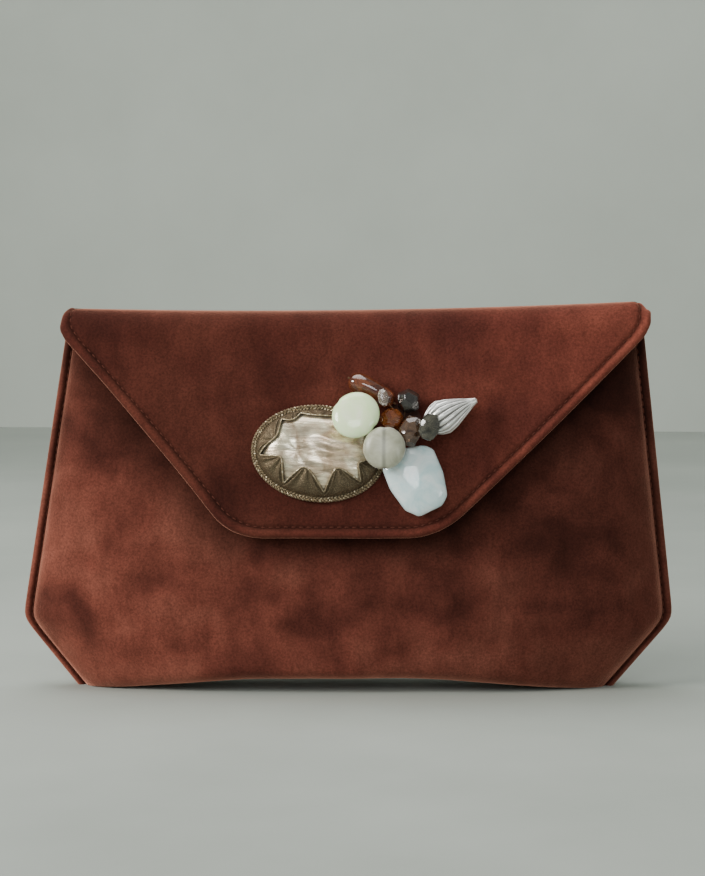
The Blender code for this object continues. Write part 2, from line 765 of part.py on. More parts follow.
def make_amber_barrel(parts, mats, plane):
    """A long amber bead that turns on its thread."""
    outer = [(1.6, 10.2), (2.9, 9.2), (3.7, 6.0), (3.9, 0.0), (3.7, -6.0), (2.9, -9.2), (1.6, -10.2)]
    profile = bored_profile([(r * MM, h * MM) for r, h in outer], STITCH_BORE)
    bead = turned("amber_barrel", profile, mats["amber"], parts, steps=16, ring=True, parent=plane)
    thread = tube(
        "amber_barrel_thread",
        [(0.0, 0.0, -11.2 * MM), (0.0, 0.0, 11.2 * MM)],
        THREAD_RADIUS,
        mats["thread"],
        parts,
        parent=plane,
    )
    for piece in (bead, thread):
        place(piece, 11.2, -31.4, 4.5, turn=60.5, tip=-90)


def make_aqua_stone(parts, helpers, mats, plane):
    """A drilled nugget that swings on a thread through its upper corner."""
    outline = [
        (-9.8, 11.4),
        (3.6, 14.0),
        (7.6, 12.9),
        (13.4, -6.9),
        (11.5, -10.4),
        (1.4, -15.2),
        (-3.5, -12.8),
        (-9.8, -4.4),
        (-13.2, 3.8),
    ]
    rings = [(-4.3, 0.55), (-2.6, 0.86), (-0.6, 1.0), (0.8, 1.0), (2.9, 0.80), (4.5, 0.42)]
    pivot = make_pivot("aqua_stone_pivot", (0.0, 0.0, 0.0), parts)
    pivot.parent = plane
    place(pivot, 22.4, -58.6, 0.0)
    stone = faceted(
        "aqua_stone",
        [(x * MM, y * MM) for x, y in outline],
        [(height * MM, scale) for height, scale in rings],
        mats["aqua_stone"],
        parts,
        pivot,
    )
    place(stone, 6.1, -8.9, 5.6)
    tube(
        "aqua_stone_thread",
        [(0.0, 0.0, 0.4 * MM), (0.0, 0.0, 9.6 * MM)],
        THREAD_RADIUS,
        mats["thread"],
        parts,
        parent=pivot,
    )
    bpy.context.view_layer.update()
    cut(stone, cylinder_cutter("stone_bore", STITCH_BORE, 30 * MM, pivot.matrix_world, helpers))


def build():
    clear_scene()
    parts = make_collection(COLLECTION)
    helpers = make_collection(HELPERS, hidden=True)
    mats = make_materials()
    spine_pivot = make_pivot("spine_pivot", (0.0, FOLD_BACK_Y, FOLD_HEIGHT), parts)
    flap_pivot = make_pivot("flap_pivot", (0.0, FOLD_FRONT_Y, FOLD_HEIGHT), parts, spine_pivot)
    front, front_padding = make_walls(parts, mats)
    make_base(parts, mats)
    make_spine(parts, mats, spine_pivot)
    flap_board, flap_lining = make_flap(parts, mats, flap_pivot)
    make_snap(parts, helpers, mats, flap_pivot, front, front_padding, flap_board, flap_lining)
    plane = ornament_plane(parts, flap_pivot)
    make_cabochon(parts, mats, plane)
    make_beads(parts, mats, plane)
    make_silver_bead(parts, mats, plane)
    make_amber_barrel(parts, mats, plane)
    make_aqua_stone(parts, helpers, mats, plane)
    bpy.context.view_layer.update()


build()
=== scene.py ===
"""Looks of the evening bag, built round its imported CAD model. Metres, +Z up, the bag's front faces -Y.

The velvet, linings, stitching and beads are built here from the shape laws of the CAD parts, with the outline
refitted to the photo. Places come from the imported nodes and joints.
"""

import json
import math

import bmesh
import bpy
import numpy as np
from mathutils import Matrix, Vector


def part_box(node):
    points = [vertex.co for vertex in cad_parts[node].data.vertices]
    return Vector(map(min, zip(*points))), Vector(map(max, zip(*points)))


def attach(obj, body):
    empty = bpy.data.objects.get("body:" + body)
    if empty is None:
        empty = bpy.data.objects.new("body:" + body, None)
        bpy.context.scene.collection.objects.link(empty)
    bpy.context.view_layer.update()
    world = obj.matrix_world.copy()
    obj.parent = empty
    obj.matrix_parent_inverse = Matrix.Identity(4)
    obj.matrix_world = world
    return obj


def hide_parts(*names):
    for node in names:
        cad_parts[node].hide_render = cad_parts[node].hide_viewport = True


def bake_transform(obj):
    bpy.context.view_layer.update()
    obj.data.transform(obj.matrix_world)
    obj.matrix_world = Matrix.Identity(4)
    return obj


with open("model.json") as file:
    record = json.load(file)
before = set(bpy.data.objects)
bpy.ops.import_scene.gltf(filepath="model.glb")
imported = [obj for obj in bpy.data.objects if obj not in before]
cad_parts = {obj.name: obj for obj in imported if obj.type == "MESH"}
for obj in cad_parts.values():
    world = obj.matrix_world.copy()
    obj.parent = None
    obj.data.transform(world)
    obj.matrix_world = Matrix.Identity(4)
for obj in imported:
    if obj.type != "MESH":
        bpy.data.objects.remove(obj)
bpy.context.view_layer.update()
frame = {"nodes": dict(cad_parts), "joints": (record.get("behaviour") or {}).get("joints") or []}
JOINTS = {joint["name"]: joint for joint in frame["joints"]}

MM = 0.001
TAU = math.tau

# ---------------------------------------------------------------- driving dimensions

# Body outline: the law of the CAD walls, up to 1.6 mm wider at the base
BASE_HALF_WIDTH = 112.6 * MM
WIDEST_HALF_WIDTH = 136.4 * MM
MOUTH_HALF_WIDTH = 120.0 * MM
CORNER_HEIGHT = 28.5 * MM
MOUTH_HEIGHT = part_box("front_panel")[1].z
CORNER_SOFTNESS = 1.5 * MM
BASE_SHIFT = -5.1 * MM
WALL_TOP = 152.2 * MM

# Body depth, measured from the seam plane at y = 0
FLANGE_WIDTH = 4.0 * MM
FLANGE_HALF_DEPTH = 1.35 * MM
BASE_RADIUS = 6.0 * MM
FRONT = {"side": -1, "base": 22.7 * MM, "top": 8.3 * MM, "bulge": 6.0 * MM, "lift": 5.7 * MM}
BACK = {"side": 1, "base": 17.2 * MM, "top": 7.4 * MM, "bulge": 3.5 * MM, "lift": 4.0 * MM}
BASE_ARCH = 4.2 * MM
WALL_THICKNESS = 3.9 * MM
PANEL_COLUMNS = 66

# The arch over the fold lines, from the back wall to the flap
FOLD_FRONT = Vector(JOINTS["flap_front_fold"]["pos_m"])
ARCH_FOOT = 147.0 * MM
ARCH_LENGTH = 20.0 * MM
ARCH_POWER = 2.5
CREST_HEIGHT = 157.2 * MM
CREST_RISE_AT_ENDS = 2.3 * MM
CREST_TILT = 0.7 * MM
CREST_ROUNDING = 4.5 * MM
CREST_TURN = 0.8
CREST_INSET = CREST_ROUNDING * (1 - math.sqrt(1 - CREST_TURN**2))
CREST_END_DROP = 3.0 * MM
CREST_END_LENGTH = 4.8 * MM
CREST_SHIFT = 0.9 * MM
FLAP_SWAY = 1.9 * MM
# Painted shadow of the flap on the front velvet: its reach from the flap's edge, and how much it darkens
# there
FLAP_SHADOW_REACH = 12 * MM
FLAP_SHADOW_SHARE = 0.8

# Flap: the plane of the CAD flap, and an outline that follows the photo more closely
FLAP_HALF_WIDTH = 121.6 * MM
FLAP_TIP_HEIGHT = 65.5 * MM
FLAP_POINT_HALF = 42.2 * MM
FLAP_FLAT_HALF = 29 * MM
FLAP_EDGE_ANGLE = math.radians(46.3)
FLAP_CORNER_RADIUS = 13 * MM
FLAP_SKEW = -6.3 * MM
FLAP_SLOPE = 20.0 / 92.5
FLAP_LEAN = math.atan(FLAP_SLOPE)
FLAP_TIP_DOWN = ARCH_LENGTH + (ARCH_FOOT - FLAP_TIP_HEIGHT) / math.cos(FLAP_LEAN)
FLAP_SET_BACK = 0.25
FLAP_PLANE_HALF = 55.0 * MM
FLAP_BORDER = 6.5 * MM
FLAP_COLUMNS = 150

# Profiles of the sewn edges: the distance in from the edge, then the depth from the seam plane (flange) or
# below the outer face (rim), in millimetres. The painted light at each point runs from 0, painted shade,
# through
# 0.5, unpainted, to 1, painted sheen
UNPAINTED_LEVEL = 0.5
FLANGE_PROFILE = (
    (3.75, 0.75), (3.45, 0.5), (3.1, 0.75), (2.6, 1.35), (2.0, 1.75), (1.4, 1.8),
    (0.9, 1.55), (0.5, 1.15), (0.2, 0.7), (0.0, 0.3), (0.02, 0.1), (0.06, 0.05),
)
FLANGE_PAINTED_LIGHT = (0.15, 0.05, 0.1, 0.3, 0.55, 0.7, 0.7, 0.6, 0.5, 0.4, 0.4, 0.4)
RIM_PROFILE = (
    (6.3, 0.0), (5.8, 0.04), (5.3, 0.15), (4.8, 0.4), (4.4, 0.52), (4.0, 0.42),
    (3.4, 0.0), (2.8, -0.38), (2.2, -0.58), (1.6, -0.58), (1.0, -0.4), (0.5, -0.05),
    (0.12, 0.4), (0.0, 0.85), (0.25, 1.6), (0.8, 2.5), (2.0, 3.2),
)
RIM_PAINTED_LIGHT = (0.5, 0.48, 0.42, 0.28, 0.15, 0.2, 0.5, 0.8, 0.95, 0.9, 0.75, 0.55, 0.35, 0.2, 0.2, 0.2, 0.2)
FLAP_LINING_PROFILE = ((4.6, 2.8), (3.4, 2.95), (2.5, 3.25), (1.9, 3.2), (1.5, 2.8))

STITCH = {"pitch": 3.1 * MM, "length": 2.3 * MM, "radius": 0.27 * MM}
SEAM_STITCH_INSET = 3.5 * MM
SEAM_STITCH_DEPTH = 0.85 * MM
FLAP_STITCH_INSET = 4.5 * MM
FLAP_STITCH_BELOW = 0.55 * MM
MOUTH_ROLL = 1.8 * MM
MOUTH_HEM = 7 * MM

# The base rises between these two distances from the middle, and the rise fades out below this height
LIFT_ENDS = (112 * MM, 25 * MM)
LIFT_HEIGHT = 55 * MM

# Layers under the velvet, by their depths below its outer face
WADDING_LAYER = (1.5 * MM, 2.9 * MM)
BOARD_LAYER = (1.5 * MM, 2.2 * MM)
FLAP_LINING_BELOW = 2.7 * MM
TONGUE_BELOW = 2.4 * MM
LINING_GAP = 0.25 * MM

BORE_RADIUS = 0.5 * MM
GEM_WEAR = 0.35 * MM
NORMAL_STEP = 0.2 * MM
WELD_DISTANCE = 0.002 * MM

# Camera and setting
VIEW_TARGET = Vector((-0.65, 0.0, 103.8)) * MM
VIEW_AZIMUTH, VIEW_ELEVATION, VIEW_ROLL = (math.radians(a) for a in (3.43, 4.0, -0.44))
VIEW_DISTANCE = 1.0
VIEW_LENS = 98.54
BACKDROP_DISTANCE = 1.6
BACKDROP_TURN = math.radians(-9.0)


# ---------------------------------------------------------------- materials

class Look:
    """A material's node tree, with short calls for the few kinds of node used here."""

    def __init__(self, name, **settings):
        self.material = bpy.data.materials.new(name)
        self.material.use_nodes = True
        self.tree = self.material.node_tree
        self.shader = self.tree.nodes["Principled BSDF"]
        for socket, value in settings.items():
            self.shader.inputs[socket.replace("_", " ")].default_value = value
        self.place = self.tree.nodes.new("ShaderNodeTexCoord").outputs["Object"]

    def link(self, source, target):
        self.tree.links.new(source, target)

    def scaled(self, scale, turn=(0.0, 0.0, 0.0)):
        """Object coordinates in metres, scaled and turned."""
        mapping = self.tree.nodes.new("ShaderNodeMapping")
        mapping.inputs["Scale"].default_value = scale
        mapping.inputs["Rotation"].default_value = turn
        self.link(self.place, mapping.inputs["Vector"])
        return mapping.outputs["Vector"]

    def texture(self, kind, at=None, **inputs):
        """A texture node with these inputs, at the object's own coordinates unless told otherwise."""
        node = self.tree.nodes.new("ShaderNodeTex" + kind)
        for socket, value in inputs.items():
            node.inputs[socket].default_value = value
        self.link(at or self.place, node.inputs["Vector"])
        return node

    def noise(self, scale, detail=2.0, roughness=0.5, distortion=0.0, at=None):
        node = self.texture(
            "Noise", at, Scale=scale, Detail=detail, Roughness=roughness, Distortion=distortion
        )
        return node.outputs["Fac"]

    def cells(self, scale):
        return self.texture("Voronoi", Scale=scale).outputs["Distance"]

    def waves(self, scale, distortion, direction):
        node = self.texture("Wave", Scale=scale, Distortion=distortion)
        node.bands_direction = direction
        return node.outputs["Fac"]

    def attribute(self, name):
        node = self.tree.nodes.new("ShaderNodeAttribute")
        node.attribute_name = name
        return node.outputs["Fac"]

    def gradient(self, axis, ends, values):
        """A value that eases from one number to another along an object axis."""
        split = self.tree.nodes.new("ShaderNodeSeparateXYZ")
        self.link(self.place, split.inputs["Vector"])
        node = self.tree.nodes.new("ShaderNodeMapRange")
        node.interpolation_type = "SMOOTHSTEP"
        for socket, value in zip(("From Min", "From Max", "To Min", "To Max"), (*ends, *values)):
            node.inputs[socket].default_value = value
        self.link(split.outputs[axis], node.inputs["Value"])
        return node.outputs["Result"]

    def ramp(self, value, *stops):
        """Colours or greys along a value, each stop a position and a colour."""
        node = self.tree.nodes.new("ShaderNodeValToRGB")
        elements = node.color_ramp.elements
        while len(elements) < len(stops):
            elements.new(1.0)
        for element, (position, colour) in zip(elements, stops):
            element.position = position
            grey = isinstance(colour, float)
            element.color = (colour, colour, colour, 1.0) if grey else (*colour, 1.0)
        self.link(value, node.inputs["Fac"])
        return node.outputs["Color"]

    def mix(self, share, first, second, blend="MIX"):
        """A colour mixed from two; each may be a socket or a colour, and share a socket or a number.

        The node's sockets 6 and 7 are its two colours, and its output 2 is the mixed colour.
        """
        node = self.tree.nodes.new("ShaderNodeMix")
        node.data_type = "RGBA"
        node.blend_type = blend
        for key, value in (("Factor", share), (6, first), (7, second)):
            socket = node.inputs[key]
            if isinstance(value, bpy.types.NodeSocket):
                self.link(value, socket)
            else:
                socket.default_value = value if isinstance(value, float) else (*value, 1.0)
        return node.outputs[2]

    def times(self, first, second):
        return self.mix(1.0, first, second, "MULTIPLY")

    def bump(self, height, strength, distance, under=None):
        node = self.tree.nodes.new("ShaderNodeBump")
        node.inputs["Strength"].default_value = strength
        node.inputs["Distance"].default_value = distance
        self.link(height, node.inputs["Height"])
        if under is not None:
            self.link(under, node.inputs["Normal"])
        return node.outputs["Normal"]

    def set(self, socket, source):
        self.link(source, self.shader.inputs[socket])


def velvet_look(name, tones, light_gradients, patch):
    """Short-napped velvet: dark where it faces the viewer, copper at grazing angles, smudged where the nap is
    turned.

    The light gradients paint light and shade into the base colour: each is an axis, its two ends in metres
    and the brightness at both ends. A vertex attribute adds painted shade in the seams, painted sheen on the
    rims and, on the front, a painted shadow of the flap.
    """
    look = Look(
        name,
        Roughness=0.95,
        Specular_IOR_Level=0.08,
        Sheen_Weight=1.0,
        Sheen_Roughness=0.38,
        Sheen_Tint=(1.0, 0.44, 0.30, 1.0),
    )
    patches = look.scaled((patch, patch, patch * 1.25))
    strokes = look.scaled((120.0, 120.0, 42.0), turn=(0.0, 0.6, 0.0))
    nap = look.noise(1.0, detail=2.5, roughness=0.55, distortion=0.25, at=patches)
    brushed = look.noise(1.0, detail=3.0, roughness=0.6, at=strokes)
    grain = look.noise(1050.0, detail=3.0, roughness=0.75)
    base = look.ramp(nap, *zip((0.34, 0.5, 0.66), tones))
    # painted light: brightness gradients across the piece, multiplied into the base colour
    for axis, ends, values in light_gradients:
        base = look.times(base, look.gradient(axis, ends, values))
    base = look.times(base, look.ramp(brushed, (0.36, 0.84), (0.64, 1.12)))
    # painted shade in the seam grooves and on the rim's outer side, painted sheen on the rolls, read from a
    # vertex attribute
    base = look.times(base, look.ramp(look.attribute("painted_light"), (0.0, 0.25), (0.5, 1.0), (1.0, 1.55)))
    look.set("Base Color", look.times(base, look.ramp(grain, (0.34, 0.72), (0.66, 1.28))))
    turned_nap = look.bump(nap, 0.4, 4.0 * MM)
    turned_nap = look.bump(brushed, 0.3, 1.2 * MM, under=turned_nap)
    look.set("Normal", look.bump(grain, 0.6, 0.35 * MM, under=turned_nap))
    return look.material


def lining_look():
    """Brown satin with a fine weave and soft creases."""
    look = Look(
        "lining", Roughness=0.42, Specular_IOR_Level=0.4, Sheen_Weight=0.25,
        Sheen_Roughness=0.3, Sheen_Tint=(1.0, 0.62, 0.45, 1.0),
    )
    tone = look.noise(40.0, detail=3.0)
    warp = look.waves(900.0, 0.6, direction="X")
    weft = look.waves(900.0, 0.6, direction="Z")
    base = look.ramp(tone, (0.3, (0.10, 0.028, 0.018)), (0.7, (0.165, 0.05, 0.03)))
    look.set("Base Color", base)
    weave = look.mix(0.5, warp, weft)
    creases = look.bump(look.noise(55.0, detail=4.0, roughness=0.6), 0.35, 1.5 * MM)
    look.set("Normal", look.bump(weave, 0.25, 0.12 * MM, under=creases))
    look.set("Roughness", look.ramp(tone, (0.3, 0.36), (0.7, 0.5)))
    return look.material


def thread_look(name, colour):
    look = Look(name, Roughness=0.9, Specular_IOR_Level=0.1)
    ply = look.waves(1400.0, 1.0, direction="DIAGONAL")
    dark = tuple(channel * 0.6 for channel in colour)
    look.set("Base Color", look.mix(ply, dark, colour))
    look.set("Normal", look.bump(ply, 0.4, 0.1 * MM))
    return look.material


def fibre_look(name, colour, scale=700.0):
    """Felt, wadding and board: matted fibres."""
    look = Look(name, Roughness=0.95, Specular_IOR_Level=0.1)
    fibres = look.noise(scale, detail=4.0, roughness=0.7, distortion=1.5)
    dark = tuple(channel * 0.62 for channel in colour)
    look.set("Base Color", look.mix(fibres, dark, colour))
    look.set("Normal", look.bump(fibres, 0.6, 0.4 * MM))
    return look.material


def plated_look():
    """Pale gold plating, brushed round and a little scuffed."""
    look = Look("snap", Metallic=1.0)
    scuffs = look.noise(420.0, detail=5.0, roughness=0.7)
    look.set("Base Color", look.ramp(scuffs, (0.3, (0.58, 0.50, 0.36)), (0.7, (0.80, 0.73, 0.58))))
    look.set("Roughness", look.ramp(scuffs, (0.35, 0.18), (0.7, 0.38)))
    look.set("Normal", look.bump(scuffs, 0.12, 0.1 * MM))
    return look.material


def shell_look():
    """Pearly dome: grey gold with a pink cast to one side, painted darker there and brighter on the other
    side as a painted highlight, with fine drawn striations.
    """
    look = Look(
        "shell", Metallic=0.6, Coat_Weight=0.6, Coat_Roughness=0.12, Specular_IOR_Level=0.6,
        Sheen_Weight=0.15, Sheen_Tint=(1.0, 0.82, 0.75, 1.0),
    )
    streaked = look.scaled((90.0, 90.0, 620.0), turn=(0.0, 0.18, 0.0))
    streaks = look.noise(1.0, detail=5.0, roughness=0.62, distortion=0.6, at=streaked)
    patches = look.noise(110.0, detail=3.0, distortion=0.8)
    tone = look.ramp(
        patches, (0.34, (0.38, 0.27, 0.17)), (0.5, (0.62, 0.51, 0.36)), (0.66, (0.84, 0.77, 0.56))
    )
    veins = look.ramp(streaks, (0.38, 0.5), (0.6, 1.2))
    centre = node_centre("shell_cabochon").x
    # painted highlight: the dome painted darker to its left and brighter to its right
    painted_highlight = look.gradient("X", (centre - 16 * MM, centre + 8 * MM), (0.72, 1.35))
    look.set("Base Color", look.times(look.times(tone, veins), painted_highlight))
    look.set("Roughness", look.ramp(streaks, (0.3, 0.36), (0.7, 0.16)))
    look.set("Normal", look.bump(streaks, 0.45, 0.5 * MM))
    return look.material


def bronze_look(name, dark, light, glitter):
    """Metallic bronze cloth or braid, its threads catching light in points."""
    look = Look(name, Metallic=0.8, Specular_IOR_Level=0.5)
    threads = look.cells(glitter)
    worn = look.noise(260.0, detail=3.0)
    points = look.ramp(threads, (0.12, light), (0.5, dark))
    look.set("Base Color", look.mix(look.ramp(worn, (0.4, 0.0), (0.75, 0.55)), points, dark))
    look.set("Roughness", look.ramp(threads, (0.1, 0.26), (0.6, 0.6)))
    look.set("Normal", look.bump(threads, 0.7, 0.25 * MM))
    return look.material


def mint_look():
    """Polished pale mint stone with faint clouds under the polish."""
    look = Look(
        "mint_stone", Roughness=0.16, Specular_IOR_Level=0.55, Coat_Weight=0.35, Coat_Roughness=0.05,
        Subsurface_Weight=0.25, Subsurface_Radius=(0.6, 0.9, 0.5), Subsurface_Scale=2.0 * MM,
    )
    clouds = look.noise(130.0, detail=3.0, distortion=0.6)
    look.set(
        "Base Color",
        look.ramp(clouds, (0.3, (0.72, 0.94, 0.50)), (0.55, (0.84, 0.98, 0.62)), (0.75, (0.95, 1.0, 0.76))),
    )
    look.set("Roughness", look.ramp(clouds, (0.3, 0.2), (0.7, 0.12)))
    return look.material


def quartz_look(name, deep, pale, transmission, cloud_scale, vein=None, frost=0.0, dull=0.0):
    """Translucent stone or glass with milky clouds and fine scratches, and perhaps a dark upright vein."""
    look = Look(
        name, Roughness=0.1, IOR=1.5, Transmission_Weight=transmission, Specular_IOR_Level=0.6,
        Coat_Weight=0.5, Coat_Roughness=0.04 + dull, Sheen_Weight=frost, Sheen_Roughness=0.3,
    )
    clouds = look.noise(cloud_scale, detail=4.0, roughness=0.6, distortion=1.0)
    colour = look.ramp(clouds, (0.34, deep), (0.66, pale))
    if vein is not None:
        for side in (-1, 1):
            shade = look.gradient("X", (vein + side * 0.2 * MM, vein + side * 1.3 * MM), (0.55, 1.0))
            colour = look.times(colour, shade)
    look.set("Base Color", colour)
    scratches = look.noise(900.0, detail=2.0)
    look.set("Roughness", look.ramp(scratches, (0.3, 0.05 + dull), (0.8, 0.2 + dull)))
    look.set("Normal", look.bump(clouds, 0.08, 0.4 * MM))
    return look.material


def silver_look():
    """White metal: bright on the ridges, dark oxide in the flutes."""
    look = Look("silver", Metallic=0.9, Specular_IOR_Level=0.5)
    groove = look.attribute("groove")
    marks = look.noise(500.0, detail=4.0)
    metal = look.ramp(marks, (0.3, (0.74, 0.73, 0.70)), (0.7, (0.90, 0.89, 0.86)))
    look.set("Base Color", look.mix(look.ramp(groove, (0.25, 0.0), (0.9, 0.9)), metal, (0.13, 0.12, 0.11)))
    look.set("Roughness", look.ramp(marks, (0.3, 0.28), (0.7, 0.45)))
    look.set("Normal", look.bump(marks, 0.15, 0.12 * MM))
    return look.material


def floor_look(name, dark, light):
    look = Look(name, Roughness=0.7, Specular_IOR_Level=0.25)
    clouds = look.noise(4.0, detail=6.0, roughness=0.6)
    look.set("Base Color", look.ramp(clouds, (0.35, dark), (0.65, light)))
    look.set("Roughness", look.ramp(clouds, (0.3, 0.6), (0.7, 0.8)))
    return look.material


def make_looks():
    return {
        # painted light: the body's velvet is painted lighter to its left, where the key lamp falls, and low
        # down, where the floor throws light back
        "velvet_body": velvet_look(
            "velvet_body", ((0.052, 0.0135, 0.0095), (0.105, 0.029, 0.0195), (0.140, 0.043, 0.029)),
            (("X", (-0.12, 0.12), (1.2, 0.64)), ("Z", (0.015, 0.11), (1.16, 0.86))), patch=30.0,
        ),
        # painted shade and light: the flap's copy of the same velvet is painted darker than the body's,
        # darker to its left and lighter to its right and top
        "velvet_flap": velvet_look(
            "velvet_flap", ((0.050, 0.0125, 0.0092), (0.074, 0.0185, 0.0125), (0.110, 0.030, 0.0195)),
            (("X", (-0.06, 0.12), (0.66, 1.5)), ("Z", (0.08, 0.155), (0.88, 1.12))), patch=22.0,
        ),
        "lining": lining_look(),
        "padding": fibre_look("padding", (0.72, 0.71, 0.68), 500.0),
        "board": fibre_look("board", (0.42, 0.40, 0.36), 900.0),
        "felt": fibre_look("felt", (0.07, 0.035, 0.028)),
        "snap": plated_look(),
        "stitch": thread_look("stitch", (0.115, 0.036, 0.024)),
        "thread": thread_look("thread", (0.16, 0.09, 0.05)),
        "shell": shell_look(),
        "bronze": bronze_look("bronze", (0.12, 0.09, 0.055), (0.30, 0.235, 0.14), 1900.0),
        "braid": bronze_look("braid", (0.20, 0.15, 0.09), (0.80, 0.68, 0.48), 1200.0),
        "cord": bronze_look("cord", (0.30, 0.24, 0.15), (0.80, 0.70, 0.52), 900.0),
        "mint_stone": mint_look(),
        "cloud_stone": quartz_look(
            "cloud_stone", (0.56, 0.55, 0.38), (0.86, 0.86, 0.64), 0.08, 130.0,
            vein=node_centre("clouded_bead").x, frost=0.6, dull=0.3,
        ),
        "crystal": quartz_look("crystal", (0.55, 0.42, 0.34), (0.85, 0.80, 0.75), 0.85, 300.0),
        "amber": quartz_look("amber", (0.08, 0.016, 0.007), (0.38, 0.11, 0.04), 0.6, 230.0),
        "honey": quartz_look("honey", (0.30, 0.06, 0.012), (0.62, 0.20, 0.05), 0.65, 380.0),
        "umber": quartz_look("umber", (0.05, 0.02, 0.01), (0.24, 0.14, 0.08), 0.55, 240.0),
        "smoke": quartz_look("smoke", (0.008, 0.006, 0.005), (0.055, 0.05, 0.045), 0.45, 320.0),
        "olive": quartz_look("olive", (0.02, 0.018, 0.012), (0.13, 0.12, 0.085), 0.5, 320.0),
        "aqua_stone": quartz_look(
            "aqua_stone", (0.54, 0.79, 0.81), (0.90, 0.99, 0.98), 0.2, 110.0, frost=0.6
        ),
        "silver": silver_look(),
    }


# ---------------------------------------------------------------- mesh tools

def linked(name, data):
    made = bpy.data.objects.new(name, data)
    bpy.context.scene.collection.objects.link(made)
    return made


def object_of(name, mesh, look):
    mesh.materials.append(look)
    return linked(name, mesh)


def mesh_from(name, points, faces):
    mesh = bpy.data.meshes.new(name)
    mesh.from_pydata(points.reshape(-1, 3).tolist(), [], faces.tolist())
    return mesh


def object_from(work, name, look, crease=None):
    """The object of a finished bmesh, smooth but for edges sharper than the crease, in degrees."""
    mesh = bpy.data.meshes.new(name)
    work.to_mesh(mesh)
    work.free()
    mesh.shade_smooth()
    if crease is not None:
        mesh.set_sharp_from_angle(angle=math.radians(crease))
    return object_of(name, mesh, look)


def wear_edges(work, width, segments, profile):
    """Rounds every edge of a bmesh."""
    bmesh.ops.bevel(
        work, geom=list(work.edges), offset=width, segments=segments, affect="EDGES", profile=profile,
        clamp_overlap=True,
    )


def grid_faces(rows, columns, around=False, start=0):
    """Quads of a grid of points, wrapped round its columns if asked."""
    index = start + np.arange(rows * columns).reshape(rows, columns)
    if around:
        index = np.concatenate([index, index[:, :1]], axis=1)
    return np.stack([index[:-1, :-1], index[:-1, 1:], index[1:, 1:], index[1:, :-1]], -1).reshape(-1, 4)


def surface(name, points, look, around=False, flip=False, poles=False):
    """A smooth surface through a (rows, columns, 3) grid. Poles welds rows that shrink to a point."""
    quads = grid_faces(*points.shape[:2], around=around)
    mesh = mesh_from(name, points, quads[:, ::-1] if flip else quads)
    if poles:
        weld(mesh)
    mesh.shade_smooth()
    return object_of(name, mesh, look)


def store(mesh, name, values):
    """Keeps a number for each vertex, for the materials to read."""
    layer = mesh.attributes.new(name, "FLOAT", "POINT")
    layer.data.foreach_set("value", np.asarray(values, np.float32).reshape(-1))


def slab(name, outer, inner, look):
    """A closed slab between two grids of the same shape. The outer grid faces -Y where it climbs along +X."""
    rows, columns = outer.shape[:2]
    index = np.arange(rows * columns).reshape(rows, columns)
    edge = np.concatenate([index[0, :-1], index[:-1, -1], index[-1, :0:-1], index[:0:-1, 0]])
    after = np.roll(edge, -1)
    back = rows * columns
    rim = np.stack([after, edge, edge + back, after + back], 1)
    faces = np.concatenate([grid_faces(rows, columns), grid_faces(rows, columns, start=back)[:, ::-1], rim])
    mesh = mesh_from(name, np.concatenate([outer, inner]), faces)
    mesh.shade_smooth()
    mesh.set_sharp_from_angle(angle=math.radians(50))
    return object_of(name, mesh, look)


def weld(mesh):
    work = bmesh.new()
    work.from_mesh(mesh)
    bmesh.ops.remove_doubles(work, verts=work.verts, dist=WELD_DISTANCE)
    bmesh.ops.dissolve_degenerate(work, edges=work.edges, dist=WELD_DISTANCE / 4)
    work.to_mesh(mesh)
    work.free()


def transported(path, closed):
    """Unit tangents of a path and two normals carried along it without twist."""
    ahead, behind = np.roll(path, -1, 0), np.roll(path, 1, 0)
    if not closed:
        ahead[-1], behind[0] = path[-1], path[0]
    tangent = ahead - behind
    tangent /= np.linalg.norm(tangent, axis=1, keepdims=True)
    side = np.cross(tangent[0], (0.31, 0.52, 0.79))
    sides = []
    for along in tangent:
        side = side - along * (side @ along)
        side /= np.linalg.norm(side)
        sides.append(side)
    sides = np.array(sides)
    return tangent, sides, np.cross(tangent, sides)


def tube(name, path, radii, look, closed=False, sides=8):
    """A round tube along a path; radii is one radius or one for each point."""
    path = np.asarray(path, float)
    _, one, two = transported(path, closed)
    angles = np.arange(sides) * TAU / sides
    radii = np.broadcast_to(radii, len(path))[:, None, None]
    ring = one[:, None] * np.cos(angles)[None, :, None] + two[:, None] * np.sin(angles)[None, :, None]
    points = path[:, None] + ring * radii
    if closed:
        points = np.concatenate([points, points[:1]])
    return surface(name, points, look, around=True, poles=True)


def joined(name, pieces):
    """Several objects made one, under this name."""
    work = bmesh.new()
    look = pieces[0].data.materials[0]
    for piece in pieces:
        work.from_mesh(piece.data)
        bpy.data.objects.remove(piece)
    return object_from(work, name, look)


def sampled(path, wanted, places):
    """A path's points at the wanted places, where its own points lie at these places."""
    return np.stack([np.interp(wanted, places, path[:, k]) for k in range(3)], 1)


